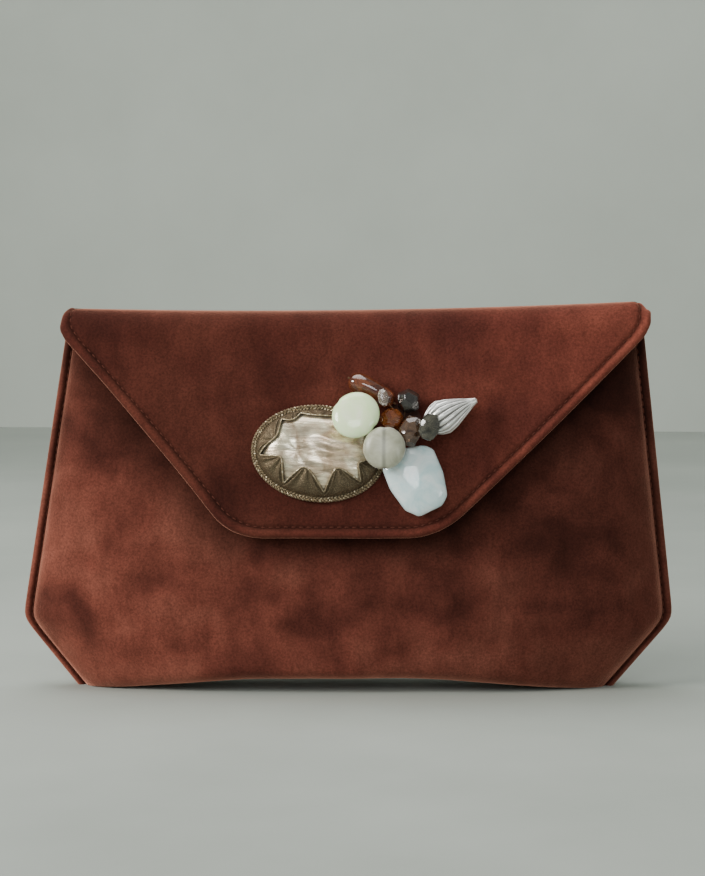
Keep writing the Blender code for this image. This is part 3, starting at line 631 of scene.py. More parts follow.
def stitching(name, path, normals, look, seed=1):
    """A run of sewing stitches, each a short thread that rises from the cloth and dips back into it."""
    steps = np.linalg.norm(np.diff(path, axis=0), axis=1)
    length = np.concatenate([[0.0], np.cumsum(steps)])
    spots = np.arange(0.5 * STITCH["pitch"], length[-1] - STITCH["length"], STITCH["pitch"])
    rng = np.random.default_rng(seed)
    share = np.linspace(0.0, 1.0, 7)
    angles = np.arange(6) * TAU / 6
    verts, faces = [], []
    for spot in spots:
        wanted = spot + share * STITCH["length"] * rng.uniform(0.9, 1.08)
        line, out = sampled(path, wanted, length), sampled(normals, wanted, length)
        out /= np.linalg.norm(out, axis=1, keepdims=True)
        along = np.gradient(line, axis=0)
        along /= np.linalg.norm(along, axis=1, keepdims=True)
        across = np.cross(along, out)
        rise = STITCH["radius"] * (1.3 * np.sin(math.pi * share) - 0.9)
        thick = STITCH["radius"] * (0.45 + 0.55 * np.sin(math.pi * share) ** 0.5)
        line = line + out * rise[:, None] + across * rng.uniform(-0.08, 0.08) * MM
        ring = across[:, None] * np.cos(angles)[None, :, None] + out[:, None] * np.sin(angles)[None, :, None]
        first = len(verts) * len(share) * len(angles)
        faces.append(grid_faces(len(share), len(angles), around=True, start=first))
        verts.append((line[:, None] + ring * thick[:, None, None]).reshape(-1, 3))
    mesh = mesh_from(name, np.concatenate(verts), np.concatenate(faces))
    mesh.shade_smooth()
    return object_of(name, mesh, look)


def ripple(across, up, seed, size, count=20):
    """A smooth random field with features of about this size and values of about -1 to 1."""
    rng = np.random.default_rng(seed)
    total = 0.0
    for _ in range(count):
        angle, phase = rng.uniform(0.0, TAU, 2)
        wave = TAU / (size * rng.uniform(0.7, 1.7))
        total = total + np.sin(wave * (across * math.cos(angle) + up * math.sin(angle)) + phase)
    return total / math.sqrt(count)


def smooth_step(low, high, value):
    share = np.clip((value - low) / (high - low), 0.0, 1.0)
    return share * share * (3 - 2 * share)


def crowded(share):
    """Places from -1 to 1, drawn closer together towards both ends."""
    return 0.55 * share + 0.45 * np.sin(math.pi / 2 * share)


def lathed(radius, angles, height):
    """Points round the local Z, at these radii and heights."""
    return np.stack([radius * np.cos(angles), radius * np.sin(angles), height + 0 * angles], -1)


# ---------------------------------------------------------------- shape of the body

def soft_min(a, b, softness):
    return -softness * np.logaddexp(-a / softness, -b / softness)


def body_half_width(z):
    corner = BASE_HALF_WIDTH + (WIDEST_HALF_WIDTH - BASE_HALF_WIDTH) * z / CORNER_HEIGHT
    climb = (z - CORNER_HEIGHT) / (MOUTH_HEIGHT - CORNER_HEIGHT)
    side = WIDEST_HALF_WIDTH + (MOUTH_HALF_WIDTH - WIDEST_HALF_WIDTH) * climb
    return soft_min(corner, side, CORNER_SOFTNESS)


def panel_depth(x, z, wall):
    """Depth of a wall's outer face from the seam plane, by the law of the CAD walls."""
    share = np.clip(z / MOUTH_HEIGHT, 0.0, 1.0)
    middle = wall["base"] + (wall["top"] - wall["base"]) * share
    middle = middle + wall["bulge"] * np.sin(math.pi * share**0.75)
    turn = np.clip(1 - z / BASE_RADIUS, 0.0, 1.0)
    middle = middle - BASE_RADIUS * (1 - np.sqrt(1 - turn**2))
    across = np.clip(np.abs(x) / (body_half_width(z) - FLANGE_WIDTH), 0.0, 1.0)
    return FLANGE_HALF_DEPTH + middle * (1 - across ** (2.6 + 2.4 * share)) ** 0.55


def leaned(x, z):
    """x moved sideways with the lean of the soft body: its base stands to the left of its mouth."""
    return x + BASE_SHIFT * np.clip(1 - z / WALL_TOP, 0.0, 1.0)


def wrinkles(x, z, wall):
    """Soft dents and creases of the padded velvet, outward from the smooth wall."""
    seed = 5 if wall is FRONT else 11
    dents = 0.55 * ripple(x, z, seed, 46 * MM) + 0.3 * ripple(x, z, seed + 1, 22 * MM)
    inside = body_half_width(z) - FLANGE_WIDTH - np.abs(x)
    near_seam = np.exp(-np.clip(inside, 0, None) / (9 * MM))
    puckers = 0.45 * near_seam * ripple(x * 0.15, z, seed + 2, 9 * MM)
    calm = smooth_step(0.0, 5 * MM, inside)
    return (dents + puckers) * calm * MM


def base_lift(x, wall):
    """How far the base stands off the floor under the middle of a wall."""
    return wall["lift"] * smooth_step(*LIFT_ENDS, np.abs(x))


def lifted(x, z, wall):
    return z + base_lift(x, wall) * np.clip(1 - z / LIFT_HEIGHT, 0.0, 1.0) ** 2


def wall_grid(wall, heights):
    """x, y, z and the normal depth of each point of a wall at these heights, seam flanges included."""
    z = heights[:, None]
    edge = body_half_width(z)
    seam = edge - FLANGE_WIDTH
    panel_x = seam * crowded(np.linspace(-1.0, 1.0, 2 * PANEL_COLUMNS + 1))[None]
    panel_y = panel_depth(panel_x, z, wall) + wrinkles(panel_x, z, wall)
    profile = np.array(FLANGE_PROFILE) * MM
    flange_x = edge - profile[None, :, 0]
    wobble = 0.12 * MM * np.sin(z / (2.1 * MM)) * np.sin(math.pi * profile[None, :, 0] / FLANGE_WIDTH)
    flange_y = np.broadcast_to(profile[None, :, 1], flange_x.shape) + wobble
    x = np.concatenate([-flange_x[:, ::-1], panel_x, flange_x], axis=1)
    y = np.concatenate([flange_y[:, ::-1], panel_y, flange_y], axis=1)
    return leaned(x, z), y, lifted(x, z, wall)


def wall_painted_light(rows):
    """Painted light over a wall's grid: painted shade in the seam grooves, painted sheen on the rolled seam
    edges.
    """
    line = np.concatenate([FLANGE_PAINTED_LIGHT[::-1], np.full(2 * PANEL_COLUMNS + 1, UNPAINTED_LEVEL), FLANGE_PAINTED_LIGHT])
    return np.broadcast_to(line, (rows, len(line)))


def wall_heights(top):
    arc = [BASE_RADIUS * (1 - math.cos(a)) for a in np.linspace(0, math.pi / 2, 10)]
    return np.array(arc + list(np.linspace(BASE_RADIUS, top, 76)[1:]))


def base_rows(x, y, z, wall, count=12):
    """Rows under the bag, from its middle line out to a wall's lowest row."""
    share = np.linspace(0.0, 1.0, count)[:-1, None]
    middle = z[:1] * BASE_ARCH / wall["lift"]
    return x[:1] + 0 * share, y[:1] * share, middle + (z[:1] - middle) * share**2


def flap_painted_shadow(x, z):
    """Painted shadow of the flap on the front: a factor that darkens the velvet beside the flap's edge and
    under its tip.
    """
    down = ARCH_LENGTH + (ARCH_FOOT - z) / math.cos(FLAP_LEAN)
    share = np.clip(down / FLAP_TIP_DOWN, 0, 1)
    half = np.minimum(FLAP_HALF_WIDTH, FLAP_POINT_HALF + (FLAP_TIP_DOWN - down) / math.tan(FLAP_EDGE_ANGLE))
    beside = (np.abs(x - FLAP_SKEW * share) - half) * math.sin(FLAP_EDGE_ANGLE)
    away = np.maximum(np.maximum(beside, down - FLAP_TIP_DOWN), 0.0)
    return 1 - FLAP_SHADOW_SHARE * np.exp(-((away / FLAP_SHADOW_REACH) ** 2))


def make_front_velvet(looks):
    """The front wall with half the base, rolled over at the mouth and turned in."""
    x, y, z = wall_grid(FRONT, wall_heights(MOUTH_HEIGHT - MOUTH_ROLL))
    under = base_rows(x, y, z, FRONT)
    radius = np.minimum(MOUTH_ROLL, y[-1:] / 2.02)
    turn = np.linspace(0.0, math.pi, 10)[1:, None]
    over = x[-1:] + 0 * turn, y[-1:] - radius * (1 - np.cos(turn)), z[-1:] + radius * np.sin(turn)
    drop = np.linspace(0.0, MOUTH_HEM, 5)[1:, None]
    hem = x[-1:] + 0 * drop, over[1][-1:] + 0.05 * drop, z[-1:] - drop
    parts = zip(*(under, (x, y, z), over, hem))
    x, y, z = (np.concatenate(rows) for rows in parts)
    piece = surface("velvet_front", np.stack([x, -y, z], -1), looks["velvet_body"])
    # painted light: painted shade in the seams, painted sheen on the seam rolls, and a painted shadow of the
    # flap beside and under it
    store(piece.data, "painted_light", wall_painted_light(len(x)) * flap_painted_shadow(x, z))
    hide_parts("front_panel", "base_panel")
    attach(piece, "bag_body")


# ---------------------------------------------------------------- arch over the folds, and the flap

def flap_face_y(x, z):
    """The flap's outer face, by the law of the CAD flap."""
    beyond = np.clip(np.abs(x) - FLAP_PLANE_HALF, 0, None) / (FLAP_HALF_WIDTH - FLAP_PLANE_HALF)
    lean = FLAP_SLOPE * (FOLD_FRONT.z - z)
    return FOLD_FRONT.y - lean * (1 - FLAP_SET_BACK * beyond**2)


def crest_height(x):
    end = np.abs(x) / FLAP_HALF_WIDTH
    beyond = np.abs(x) - (FLAP_HALF_WIDTH - CREST_INSET - CREST_END_LENGTH)
    drop = CREST_END_DROP * np.clip(beyond / CREST_END_LENGTH, 0, 1.1) ** 2.2
    return CREST_HEIGHT + CREST_RISE_AT_ENDS * end**2 + CREST_TILT * x / FLAP_HALF_WIDTH - drop


def arch_point(x, angle):
    """A point of the velvet over the folds. The angle runs from 0 at the back wall to pi at the flap."""
    seam = body_half_width(ARCH_FOOT) - FLANGE_WIDTH
    within = np.abs(x) < seam
    wall = panel_depth(np.clip(x, -seam, seam), ARCH_FOOT, BACK)
    back = np.where(within, wall, FLANGE_HALF_DEPTH) + wrinkles(x, ARCH_FOOT, BACK) * within
    front = flap_face_y(x, ARCH_FOOT)
    rise = (crest_height(x) - ARCH_FOOT) * np.abs(np.sin(angle)) ** (2 / ARCH_POWER)
    reach = np.sign(np.cos(angle)) * np.abs(np.cos(angle)) ** (2 / ARCH_POWER)
    slope = np.where(np.cos(angle) > 0, -0.12, FLAP_SLOPE) * np.abs(np.cos(angle)) ** 1.5
    y = (back + front) / 2 + (back - front) / 2 * reach + slope * rise
    return np.stack([x + 0 * angle, y, ARCH_FOOT + rise], -1)


def flap_point(x, down):
    """A point of the flap's outer face, by its distance down from the crest along the velvet."""
    share = np.clip(down / FLAP_TIP_DOWN, 0, 1)
    skewed = x + FLAP_SKEW * share + CREST_SHIFT * (1 - share) + FLAP_SWAY * np.sin(math.pi * share)
    angle = math.pi / 2 * (1 + np.clip(down / ARCH_LENGTH, 0, 1))
    arched = arch_point(skewed, angle)
    z = ARCH_FOOT - (down - ARCH_LENGTH) * math.cos(FLAP_LEAN)
    soft = 0.35 * MM * ripple(skewed, z, 21, 60 * MM) + 0.16 * MM * ripple(skewed, z, 22, 24 * MM)
    soft = soft * smooth_step(0, 14 * MM, down - ARCH_LENGTH)
    flat = np.stack([skewed, flap_face_y(skewed, z) - soft, z + 0 * x], -1)
    return np.where((down < ARCH_LENGTH)[..., None], arched, flat)


def outward(point_at, first, second, second_step=NORMAL_STEP):
    """Unit outward normals of the arch or the flap, each given by x and a place along its velvet."""
    one = point_at(first + NORMAL_STEP, second) - point_at(first - NORMAL_STEP, second)
    two = point_at(first, second + second_step) - point_at(first, second - second_step)
    normal = np.cross(two, one)
    return normal / np.linalg.norm(normal, axis=-1, keepdims=True)


def flap_face(x, down):
    """Points of the flap's outer face, and its normals, taken a little inside its edges."""
    within = FLAP_HALF_WIDTH - MM
    return flap_point(x, down), outward(flap_point, np.clip(x, -within, within), np.maximum(down, 0.3 * MM))


def arch_face(x, angle):
    """Points of the velvet over the folds, and its normals, taken a little inside its edges."""
    within = FLAP_HALF_WIDTH - CREST_INSET - 1.5 * MM
    steady = np.clip(angle, 0.02, math.pi / 2)
    return arch_point(x, angle), outward(arch_point, np.clip(x, -within, within), steady, second_step=0.01)


def flap_half_outline():
    """The right half of the flap's inner outline, border-width inside its edge, with its outward normals."""
    angle = math.atan(math.tan(FLAP_EDGE_ANGLE) / math.cos(FLAP_LEAN))
    normal = np.array((math.sin(angle), math.cos(angle)))
    tip_radius = (FLAP_POINT_HALF - FLAP_FLAT_HALF) / math.tan(angle / 2)
    tip_centre = np.array((FLAP_FLAT_HALF, FLAP_TIP_DOWN - tip_radius))
    support = normal @ (FLAP_POINT_HALF, FLAP_TIP_DOWN)
    top_x = FLAP_HALF_WIDTH - FLAP_CORNER_RADIUS
    top_centre = np.array((top_x, (support - FLAP_CORNER_RADIUS - top_x * normal[0]) / normal[1]))
    points, normals = [], []

    def add(point, out):
        points.append(np.array(point))
        normals.append(np.array(out))

    for down in np.arange(0.0, top_centre[1], 1.1 * MM):
        turned_in = CREST_ROUNDING * min(max(1 - down / CREST_ROUNDING, 0.0), CREST_TURN)
        tuck = CREST_ROUNDING - math.sqrt(CREST_ROUNDING**2 - turned_in**2)
        add((FLAP_HALF_WIDTH - FLAP_BORDER - tuck, down), (1.0, 0.0))
    first_turn = math.pi / 2 - angle
    for turn in np.linspace(0, first_turn, 8)[:-1]:
        out = np.array((math.cos(turn), math.sin(turn)))
        add(top_centre + out * (FLAP_CORNER_RADIUS - FLAP_BORDER), out)
    start = top_centre + normal * (FLAP_CORNER_RADIUS - FLAP_BORDER)
    end = tip_centre + normal * (tip_radius - FLAP_BORDER)
    for share in np.linspace(0, 1, int(np.linalg.norm(end - start) / (1.6 * MM)))[:-1]:
        add(start + (end - start) * share, normal)
    for turn in np.linspace(first_turn, math.pi / 2, 24):
        out = np.array((math.cos(turn), math.sin(turn)))
        add(tip_centre + out * (tip_radius - FLAP_BORDER), out)
    return np.array(points), np.array(normals)


def flap_ring():
    """The whole inner outline of the flap, from the left end of the crest round its tip to the right."""
    points, normals = flap_half_outline()
    left = points * (-1, 1)
    share = np.linspace(-1, 1, FLAP_COLUMNS + 1)[1:-1, None]
    bottom = np.concatenate([points[-1, 0] * share, points[-1, 1] + 0 * share], 1)
    bottom_normals = np.broadcast_to((0.0, 1.0), bottom.shape)
    ring = np.concatenate([left, bottom, points[::-1]])
    out = np.concatenate([normals * (-1, 1), bottom_normals, normals[::-1]])
    return ring, out


def flap_offset(ring, out, inset, below):
    """Points along the flap's outline, this far in from its edge and this far below its outer face."""
    place = ring + out * (FLAP_BORDER - inset)
    face, normal = flap_face(place[:, 0], place[:, 1])
    return face - normal * below, normal


def flap_surface(name, border, below, look, flip=False, painted_light=None):
    """A layer of the flap: a grid inside the inner outline and a border that follows the sewn edge."""
    points, _ = flap_half_outline()
    share = np.linspace(-1, 1, FLAP_COLUMNS + 1)
    x = points[:, :1] * share[None]
    face, normal = flap_face(x, points[:, 1:] + 0 * x)
    inner = face - normal * below
    ring, out = flap_ring()
    strips = [flap_offset(ring, out, FLAP_BORDER, below)[0]]
    strips += [flap_offset(ring, out, inset * MM, depth * MM)[0] for inset, depth in border]
    strip = np.array(strips)
    verts = np.concatenate([inner.reshape(-1, 3), strip.reshape(-1, 3)])
    inner_faces = grid_faces(*inner.shape[:2])[:, ::-1]
    strip_faces = grid_faces(*strip.shape[:2], start=inner.shape[0] * inner.shape[1])[:, ::-1]
    faces = np.concatenate([inner_faces, strip_faces])
    if flip:
        faces = faces[:, ::-1]
    mesh = mesh_from(name, verts, faces)
    # painted shade and painted sheen across the sewn border, none over the middle
    if painted_light:
        edge = np.repeat([UNPAINTED_LEVEL, *painted_light], len(ring))
        store(mesh, "painted_light", np.concatenate([np.full(len(verts) - len(edge), UNPAINTED_LEVEL), edge]))
    weld(mesh)
    mesh.shade_smooth()
    return object_of(name, mesh, look)


def bend_with_flap(piece):
    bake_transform(piece)


def bend_with_back(piece):
    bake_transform(piece)


def make_flap_velvet(looks):
    # painted sheen on the rim's roll, painted shade in its groove and on its outer side
    piece = flap_surface("velvet_flap", RIM_PROFILE, 0.0, looks["velvet_flap"], painted_light=RIM_PAINTED_LIGHT)
    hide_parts("flap_velvet", "spine_velvet")
    bend_with_flap(piece)


def make_flap_lining(looks):
    piece = flap_surface("lining_flap", FLAP_LINING_PROFILE, FLAP_LINING_BELOW, looks["lining"], flip=True)
    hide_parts("flap_lining", "spine_lining")
    bend_with_flap(piece)


def make_flap_stitching(looks):
    ring, out = flap_ring()
    path, normals = flap_offset(ring, out, FLAP_STITCH_INSET, FLAP_STITCH_BELOW)
    piece = stitching("flap_stitching", path, normals, looks["stitch"], seed=3)
    bend_with_flap(piece)


def back_arch_rows(x, count=24):
    """Rows of the back velvet over the fold, from the wall to the crest, with the edge's depth profile."""
    angle = np.linspace(0, math.pi / 2, count)[1:, None]
    rim = np.array(RIM_PROFILE[-len(FLANGE_PROFILE):]) * MM
    profile_flange = FLANGE_HALF_DEPTH - np.array(FLANGE_PROFILE)[:, 1] * MM
    profile_rim, inset = rim[:, 1], rim[:, 0]
    mixed = smooth_step(0.0, math.radians(50), angle)
    depth = profile_flange[None] * (1 - mixed) + profile_rim[None] * mixed
    edge = body_half_width(ARCH_FOOT) * (1 - mixed) + (FLAP_HALF_WIDTH - CREST_INSET) * mixed
    flange_inset = np.array(FLANGE_PROFILE)[:, 0] * MM
    rim_x = edge - (flange_inset[None] * (1 - mixed) + inset[None] * mixed)
    panel = np.broadcast_to(x[None, len(inset):-len(inset)], (len(angle), len(x) - 2 * len(inset)))
    across = np.concatenate([-rim_x[:, ::-1], panel, rim_x], axis=1)
    across = across + CREST_SHIFT * mixed
    below = np.concatenate([depth[:, ::-1], 0 * panel, depth], axis=1)
    face, normal = arch_face(across, np.broadcast_to(angle, across.shape))
    points = face - normal * below[..., None]
    points[..., 0] = leaned(points[..., 0], points[..., 2])
    return points


def make_back_velvet(looks):
    """The back wall with the other half of the base, carried over the fold to the crest."""
    x, y, z = wall_grid(BACK, wall_heights(ARCH_FOOT))
    under = base_rows(x, y, z, BACK)
    x, y, z = (np.concatenate(rows) for rows in zip(under, (x, y, z)))
    wall = np.stack([x, y, z], -1)
    upright = wall_grid(BACK, np.array([ARCH_FOOT]))[0][-1] - BASE_SHIFT * (1 - ARCH_FOOT / WALL_TOP)
    arch = back_arch_rows(upright)
    piece = surface("velvet_back", np.concatenate([wall, arch]), looks["velvet_body"], flip=True)
    # painted shade in the seam grooves and painted sheen on the seam rolls
    store(piece.data, "painted_light", wall_painted_light(len(wall) + len(arch)))
    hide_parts("back_panel")
    bend_with_back(piece)


def make_flange_stitching(looks):
    """Topstitching along the seam flange, on the front and on the back."""
    z = np.linspace(2.5 * MM, MOUTH_HEIGHT - 3 * MM, 240)
    pieces = []
    for side in (-1, 1):
        for hand in (-1, 1):
            x = hand * (body_half_width(z) - SEAM_STITCH_INSET)
            path = np.stack([leaned(x, z), side * SEAM_STITCH_DEPTH + 0 * z, z], 1)
            normals = np.broadcast_to((0.0, float(side), 0.0), path.shape)
            pieces.append(stitching("run", path, normals, looks["stitch"], seed=side + 2 * hand + 9))
    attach(joined("flange_stitching", pieces), "bag_body")


def make_mouth_stitching(looks):
    seam = body_half_width(MOUTH_HEIGHT) - 7 * MM
    x = np.linspace(-seam, seam, 300)
    z = MOUTH_HEIGHT - 4.2 * MM + 0 * x
    y = -(panel_depth(x, z, FRONT) + wrinkles(x, z, FRONT))
    normals = np.broadcast_to((0.0, -1.0, 0.0), (len(x), 3))
    piece = stitching("mouth_stitching", np.stack([leaned(x, z), y, z], 1), normals, looks["stitch"], seed=8)
    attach(piece, "bag_body")


# ---------------------------------------------------------------- boards and wadding

def make_stiffener(looks):
    """The board inside the flap and over the folds."""
    points, _ = flap_half_outline()
    points = points[points[:, 1] < points[-1, 1] - 0.5 * MM]
    share = np.linspace(-0.985, 0.985, 61)
    face, normal = flap_face(points[:, :1] * share[None], points[:, 1:] + 0 * share[None])
    outer, inner = ((face - normal * depth)[::-1] for depth in BOARD_LAYER)
    piece = slab("flap_stiffener", outer, inner, looks["board"])
    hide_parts("flap_board", "spine_board")
    bend_with_flap(piece)


def make_wadding(looks):
    """Wadding behind the velvet of both walls."""
    for name, node, wall, top in (
        ("front_wadding", "front_padding", FRONT, MOUTH_HEIGHT - 5 * MM),
        ("back_wadding", "back_padding", BACK, ARCH_FOOT - 0.5 * MM),
    ):
        heights = np.linspace(9 * MM, top, 60)[:, None]
        x = np.linspace(-0.93, 0.93, 81)[None] * (body_half_width(heights) - FLANGE_WIDTH)
        depth = panel_depth(x, heights, wall) + wrinkles(x, heights, wall)
        across, z = leaned(x, heights), lifted(x, heights, wall)
        outer, inner = (
            np.stack([across, wall["side"] * (depth - below), z], -1)[:: -wall["side"]]
            for below in WADDING_LAYER
        )
        piece = slab(name, outer, inner, looks["padding"])
        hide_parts(node)
        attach(piece, "bag_body")


def make_base_inside(looks):
    """The base board and the lining on it, bowed up with the front edge of the base."""
    across = np.linspace(-0.9, 0.9, 61)[None] * (BASE_HALF_WIDTH - FLANGE_WIDTH)
    share = np.linspace(-1, 1, 25)[:, None]
    reach = np.where(share < 0, panel_depth(across, 0.0, FRONT), panel_depth(across, 0.0, BACK)) - 1.6 * MM
    middle = base_lift(across, {"lift": BASE_ARCH})
    edge = np.where(share < 0, base_lift(across, FRONT), base_lift(across, BACK))
    lift = middle + (edge - middle) * share**2
    x, y = across + BASE_SHIFT + 0 * share, share * reach
    for name, node, look, low, high in (
        ("base_stiffener", "base_board", "board", 1.3, 2.9), ("base_satin", "base_lining", "lining", 3.3, 3.9)
    ):
        under, over = (np.stack([x, y, lift + level * MM], -1) for level in (low, high))
        piece = slab(name, over, under, looks[look])
        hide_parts(node)
        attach(piece, "bag_body")


# ---------------------------------------------------------------- linings

def lining_wall(wall, top, rows=64):
    """A lining inside a wall: y and z of a grid, with the satin's own soft folds."""
    heights = np.linspace(4.5 * MM, top, rows)[:, None]
    x = crowded(np.linspace(-1, 1, 111))[None] * (body_half_width(heights) - FLANGE_WIDTH - 0.4 * MM)
    depth = panel_depth(x, heights, wall) - WALL_THICKNESS
    folds = 0.25 * MM * ripple(x, heights * 0.4, 31 + wall["side"], 15 * MM)
    y = np.maximum(depth - np.abs(folds), LINING_GAP)
    return leaned(x, heights), y, lifted(x, heights, wall)


def make_linings(looks):
    x, y, z = lining_wall(FRONT, MOUTH_HEIGHT - 6 * MM)
    front = surface("lining_front", np.stack([x, -y, z], -1), looks["lining"], flip=True)
    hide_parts("front_lining")
    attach(front, "bag_body")

    x, y, z = lining_wall(BACK, ARCH_FOOT)
    wall = np.stack([x, y, z], -1)
    angle = np.linspace(0, math.pi / 2, 22)[1:, None]
    across = np.broadcast_to(x[-1:], (len(angle), x.shape[1]))
    face, normal = arch_face(across, np.broadcast_to(angle, across.shape))
    below = (WALL_THICKNESS - 1.1 * MM * smooth_step(0, 0.8, angle))[..., None]
    arch = face - normal * below
    arch[..., 1] = np.where(np.abs(arch[..., 1]) < LINING_GAP, LINING_GAP, arch[..., 1])
    # A tongue past the crest, so that no gap shows between the two linings when the flap is open
    down = np.array((0.8, 1.8, 3.0))[:, None] * MM
    over = np.broadcast_to(x[-1:], (len(down), x.shape[1]))
    face, normal = flap_face(over, down + 0 * over)
    tongue = face - normal * TONGUE_BELOW
    back = surface("lining_back", np.concatenate([wall, arch, tongue]), looks["lining"])
    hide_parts("back_lining")
    bend_with_back(back)


def make_pocket(looks):
    """Slip pocket on the back lining, its mouth hemmed and a little slack."""
    low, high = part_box("slip_pocket")
    rows = np.linspace(low.z, high.z, 40)[:, None]
    share = np.linspace(-1, 1, 61)[None]
    x = share * (high.x - low.x) / 2
    slack = 1.3 * MM * smooth_step(0.4, 1.0, (rows - low.z) / (high.z - low.z)) * (1 - share**4)
    y = panel_depth(x, rows, BACK) - WALL_THICKNESS - 0.9 * MM - slack
    hem = 0.35 * MM * np.exp(-((rows - high.z + 2 * MM) / (1.4 * MM)) ** 2)
    points = np.stack([leaned(x + 0 * rows, rows), y - hem, rows + 0 * x], -1)
    roll = points[-1:] + np.array((0.0, 0.5 * MM, 0.35 * MM))
    turned = points[-4:-1][::-1] + np.array((0.0, 0.9 * MM, 0.0))
    piece = surface("pocket", np.concatenate([points, roll, turned]), looks["lining"])
    edge = np.concatenate([points[::-1, 1], points[1, 1:-1], points[:, -2]])
    normals = np.broadcast_to((0.0, -1.0, 0.0), edge.shape)
    run = stitching("pocket_stitching", edge, normals, looks["stitch"], seed=12)
    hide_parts("slip_pocket")
    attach(piece, "bag_body")
    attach(run, "bag_body")


# ---------------------------------------------------------------- snap

# Turned profiles of the snap's halves: radius and height in millimetres
SOCKET_PROFILE = (
    (0.0, 0.3), (2.2, 0.3), (2.5, 0.5), (2.6, 1.9), (3.0, 2.15), (3.6, 2.2), (4.2, 2.0),
    (5.6, 1.95), (6.2, 2.15), (7.0, 2.2), (7.7, 1.9), (8.0, 1.3), (8.0, 0.0), (0.0, 0.0),
)
STUD_PROFILE = (
    (0.0, 2.2), (1.5, 2.2), (2.0, 2.0), (2.2, 1.5), (2.2, 1.1), (2.8, 0.9), (4.0, 1.05),
    (5.2, 0.95), (6.8, 1.0), (7.6, 0.8), (8.0, 0.4), (8.0, -0.1), (0.0, -0.1),
)


def turned(name, profile, look, place):
    """A (radius, height) profile in millimetres turned about the local Z of a placing matrix."""
    profile = np.array(profile) * MM
    angles = np.arange(64)[None] * TAU / 64
    points = lathed(profile[:, :1], angles, profile[:, 1:])
    made = surface(name, points, look, around=True, poles=True)
    made.data.set_sharp_from_angle(angle=math.radians(35))
    made.data.transform(place)
    return made


def node_centre(node):
    low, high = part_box(node)
    return (low + high) / 2


def node_place(node, up):
    """A frame at a node's centre whose local Z runs along up."""
    turn = Vector(up).to_track_quat("Z", "Y").to_matrix().to_4x4()
    return Matrix.Translation(node_centre(node)) @ turn


def make_snap(looks):
    """Both halves of the magnetic snap, each over its rivet and washer in the CAD."""
    height = node_centre("snap_socket").z
    rise = panel_depth(0.0, height - MM, FRONT) - panel_depth(0.0, height + MM, FRONT)
    face = Vector((0.0, -1.0, rise / (2 * MM))).normalized()
    socket = turned(
        "snap_socket_face",
        SOCKET_PROFILE,
        looks["snap"],
        node_place("snap_socket", face) @ Matrix.Translation((0, 0, -0.25 * MM)),
    )
    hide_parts("snap_socket")
    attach(socket, "bag_body")
    back = -PLANE.to_3x3().col[2]
    stud = turned(
        "snap_stud_face",
        STUD_PROFILE,
        looks["snap"],
        node_place("snap_stud", back) @ Matrix.Translation((0, 0, -0.35 * MM)),
    )
    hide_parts("snap_stud")
    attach(stud, "flap")


# ---------------------------------------------------------------- ornament

def flap_plane():
    """The flap's plane at its front fold: x across, y up the flap, z off the velvet."""
    turn = Matrix.Rotation(math.pi / 2 - FLAP_LEAN, 4, "X")
    return Matrix.Translation(FOLD_FRONT) @ turn


PLANE = flap_plane()


def on_plane(node):
    """A node's centre in the flap plane's own coordinates."""
    return PLANE.inverted() @ node_centre(node)


def settle(piece, body, slot, *nodes, place=PLANE):
    """Moves a piece built in a local frame to its place, and hands it to its body."""
    piece.data.transform(place)
    if nodes:
        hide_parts(*nodes)
    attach(piece, body)


CABOCHON_TURN = math.radians(-6.0)
DOME = {"a": 23.2 * MM, "b": 16.5 * MM, "height": 8.2 * MM, "base": 2.1 * MM}
RIM = {"a": 25.4 * MM, "b": 17.9 * MM}
# Each pleat of the frame: its first foot, its peak and its last foot in degrees round the ellipse, and its
# reach in millimetres
PLEATS = (
    (3, 20, 36, 4.0), (37, 54, 70, 2.2), (72, 94, 110, 1.4), (111, 121, 131, 2.0), (132, 152, 191, 4.8),
    (193, 216, 239, 7.2), (240, 257, 280, 8.6), (281, 300, 320, 8.2), (321, 339, 361, 5.4),
)


def cabochon_place():
    centre = on_plane("cabochon_pad")
    return PLANE @ Matrix.Translation((centre.x, centre.y, 0.0)) @ Matrix.Rotation(CABOCHON_TURN, 4, "Z")


def dome_height(x, y):
    """Height of the shell dome: a full, slightly pinched ellipsoid with drawn creases."""
    round_share = np.clip((x / DOME["a"]) ** 2 + (y / DOME["b"]) ** 2, 0.0, 1.0)
    height = DOME["base"] + DOME["height"] * (1 - round_share) ** 0.5
    knot_x, knot_y = -8.0 * MM, -1.0 * MM
    angle = np.arctan2(y - knot_y, x - knot_x)
    reach = np.hypot(x - knot_x, y - knot_y)
    fade = np.exp(-((reach - 9 * MM) / (8 * MM)) ** 2) * (1 - round_share)
    drawn = 0.13 * MM * fade * np.sin(7 * angle + 1.8 * np.sin(2 * angle + 0.7))
    wave = np.sin((y + 0.12 * x + 0.8 * MM * np.sin(x / (5 * MM))) / (0.85 * MM))
    streaks = 0.3 * MM * smooth_step(-8 * MM, 8 * MM, x) * wave * (1 - round_share)
    dimple = -0.8 * MM * np.exp(-((reach / (4.5 * MM)) ** 2))
    return height + drawn + streaks + dimple


def make_dome(looks):
    angles = np.arange(160) * TAU / 160
    lift = np.linspace(0.0, math.pi / 2, 60)[:, None]
    x = DOME["a"] * np.cos(lift) * np.cos(angles)[None]
    y = DOME["b"] * np.cos(lift) * np.sin(angles)[None]
    points = np.stack([x, y, dome_height(x, y)], -1)
    skirt = points[:1] * (1, 1, 0) + (0, 0, 1.6 * MM)
    dome = surface("shell_dome", np.concatenate([skirt, points]), looks["shell"], around=True, poles=True)
    settle(dome, "flap", "shell", "shell_cabochon", place=cabochon_place())


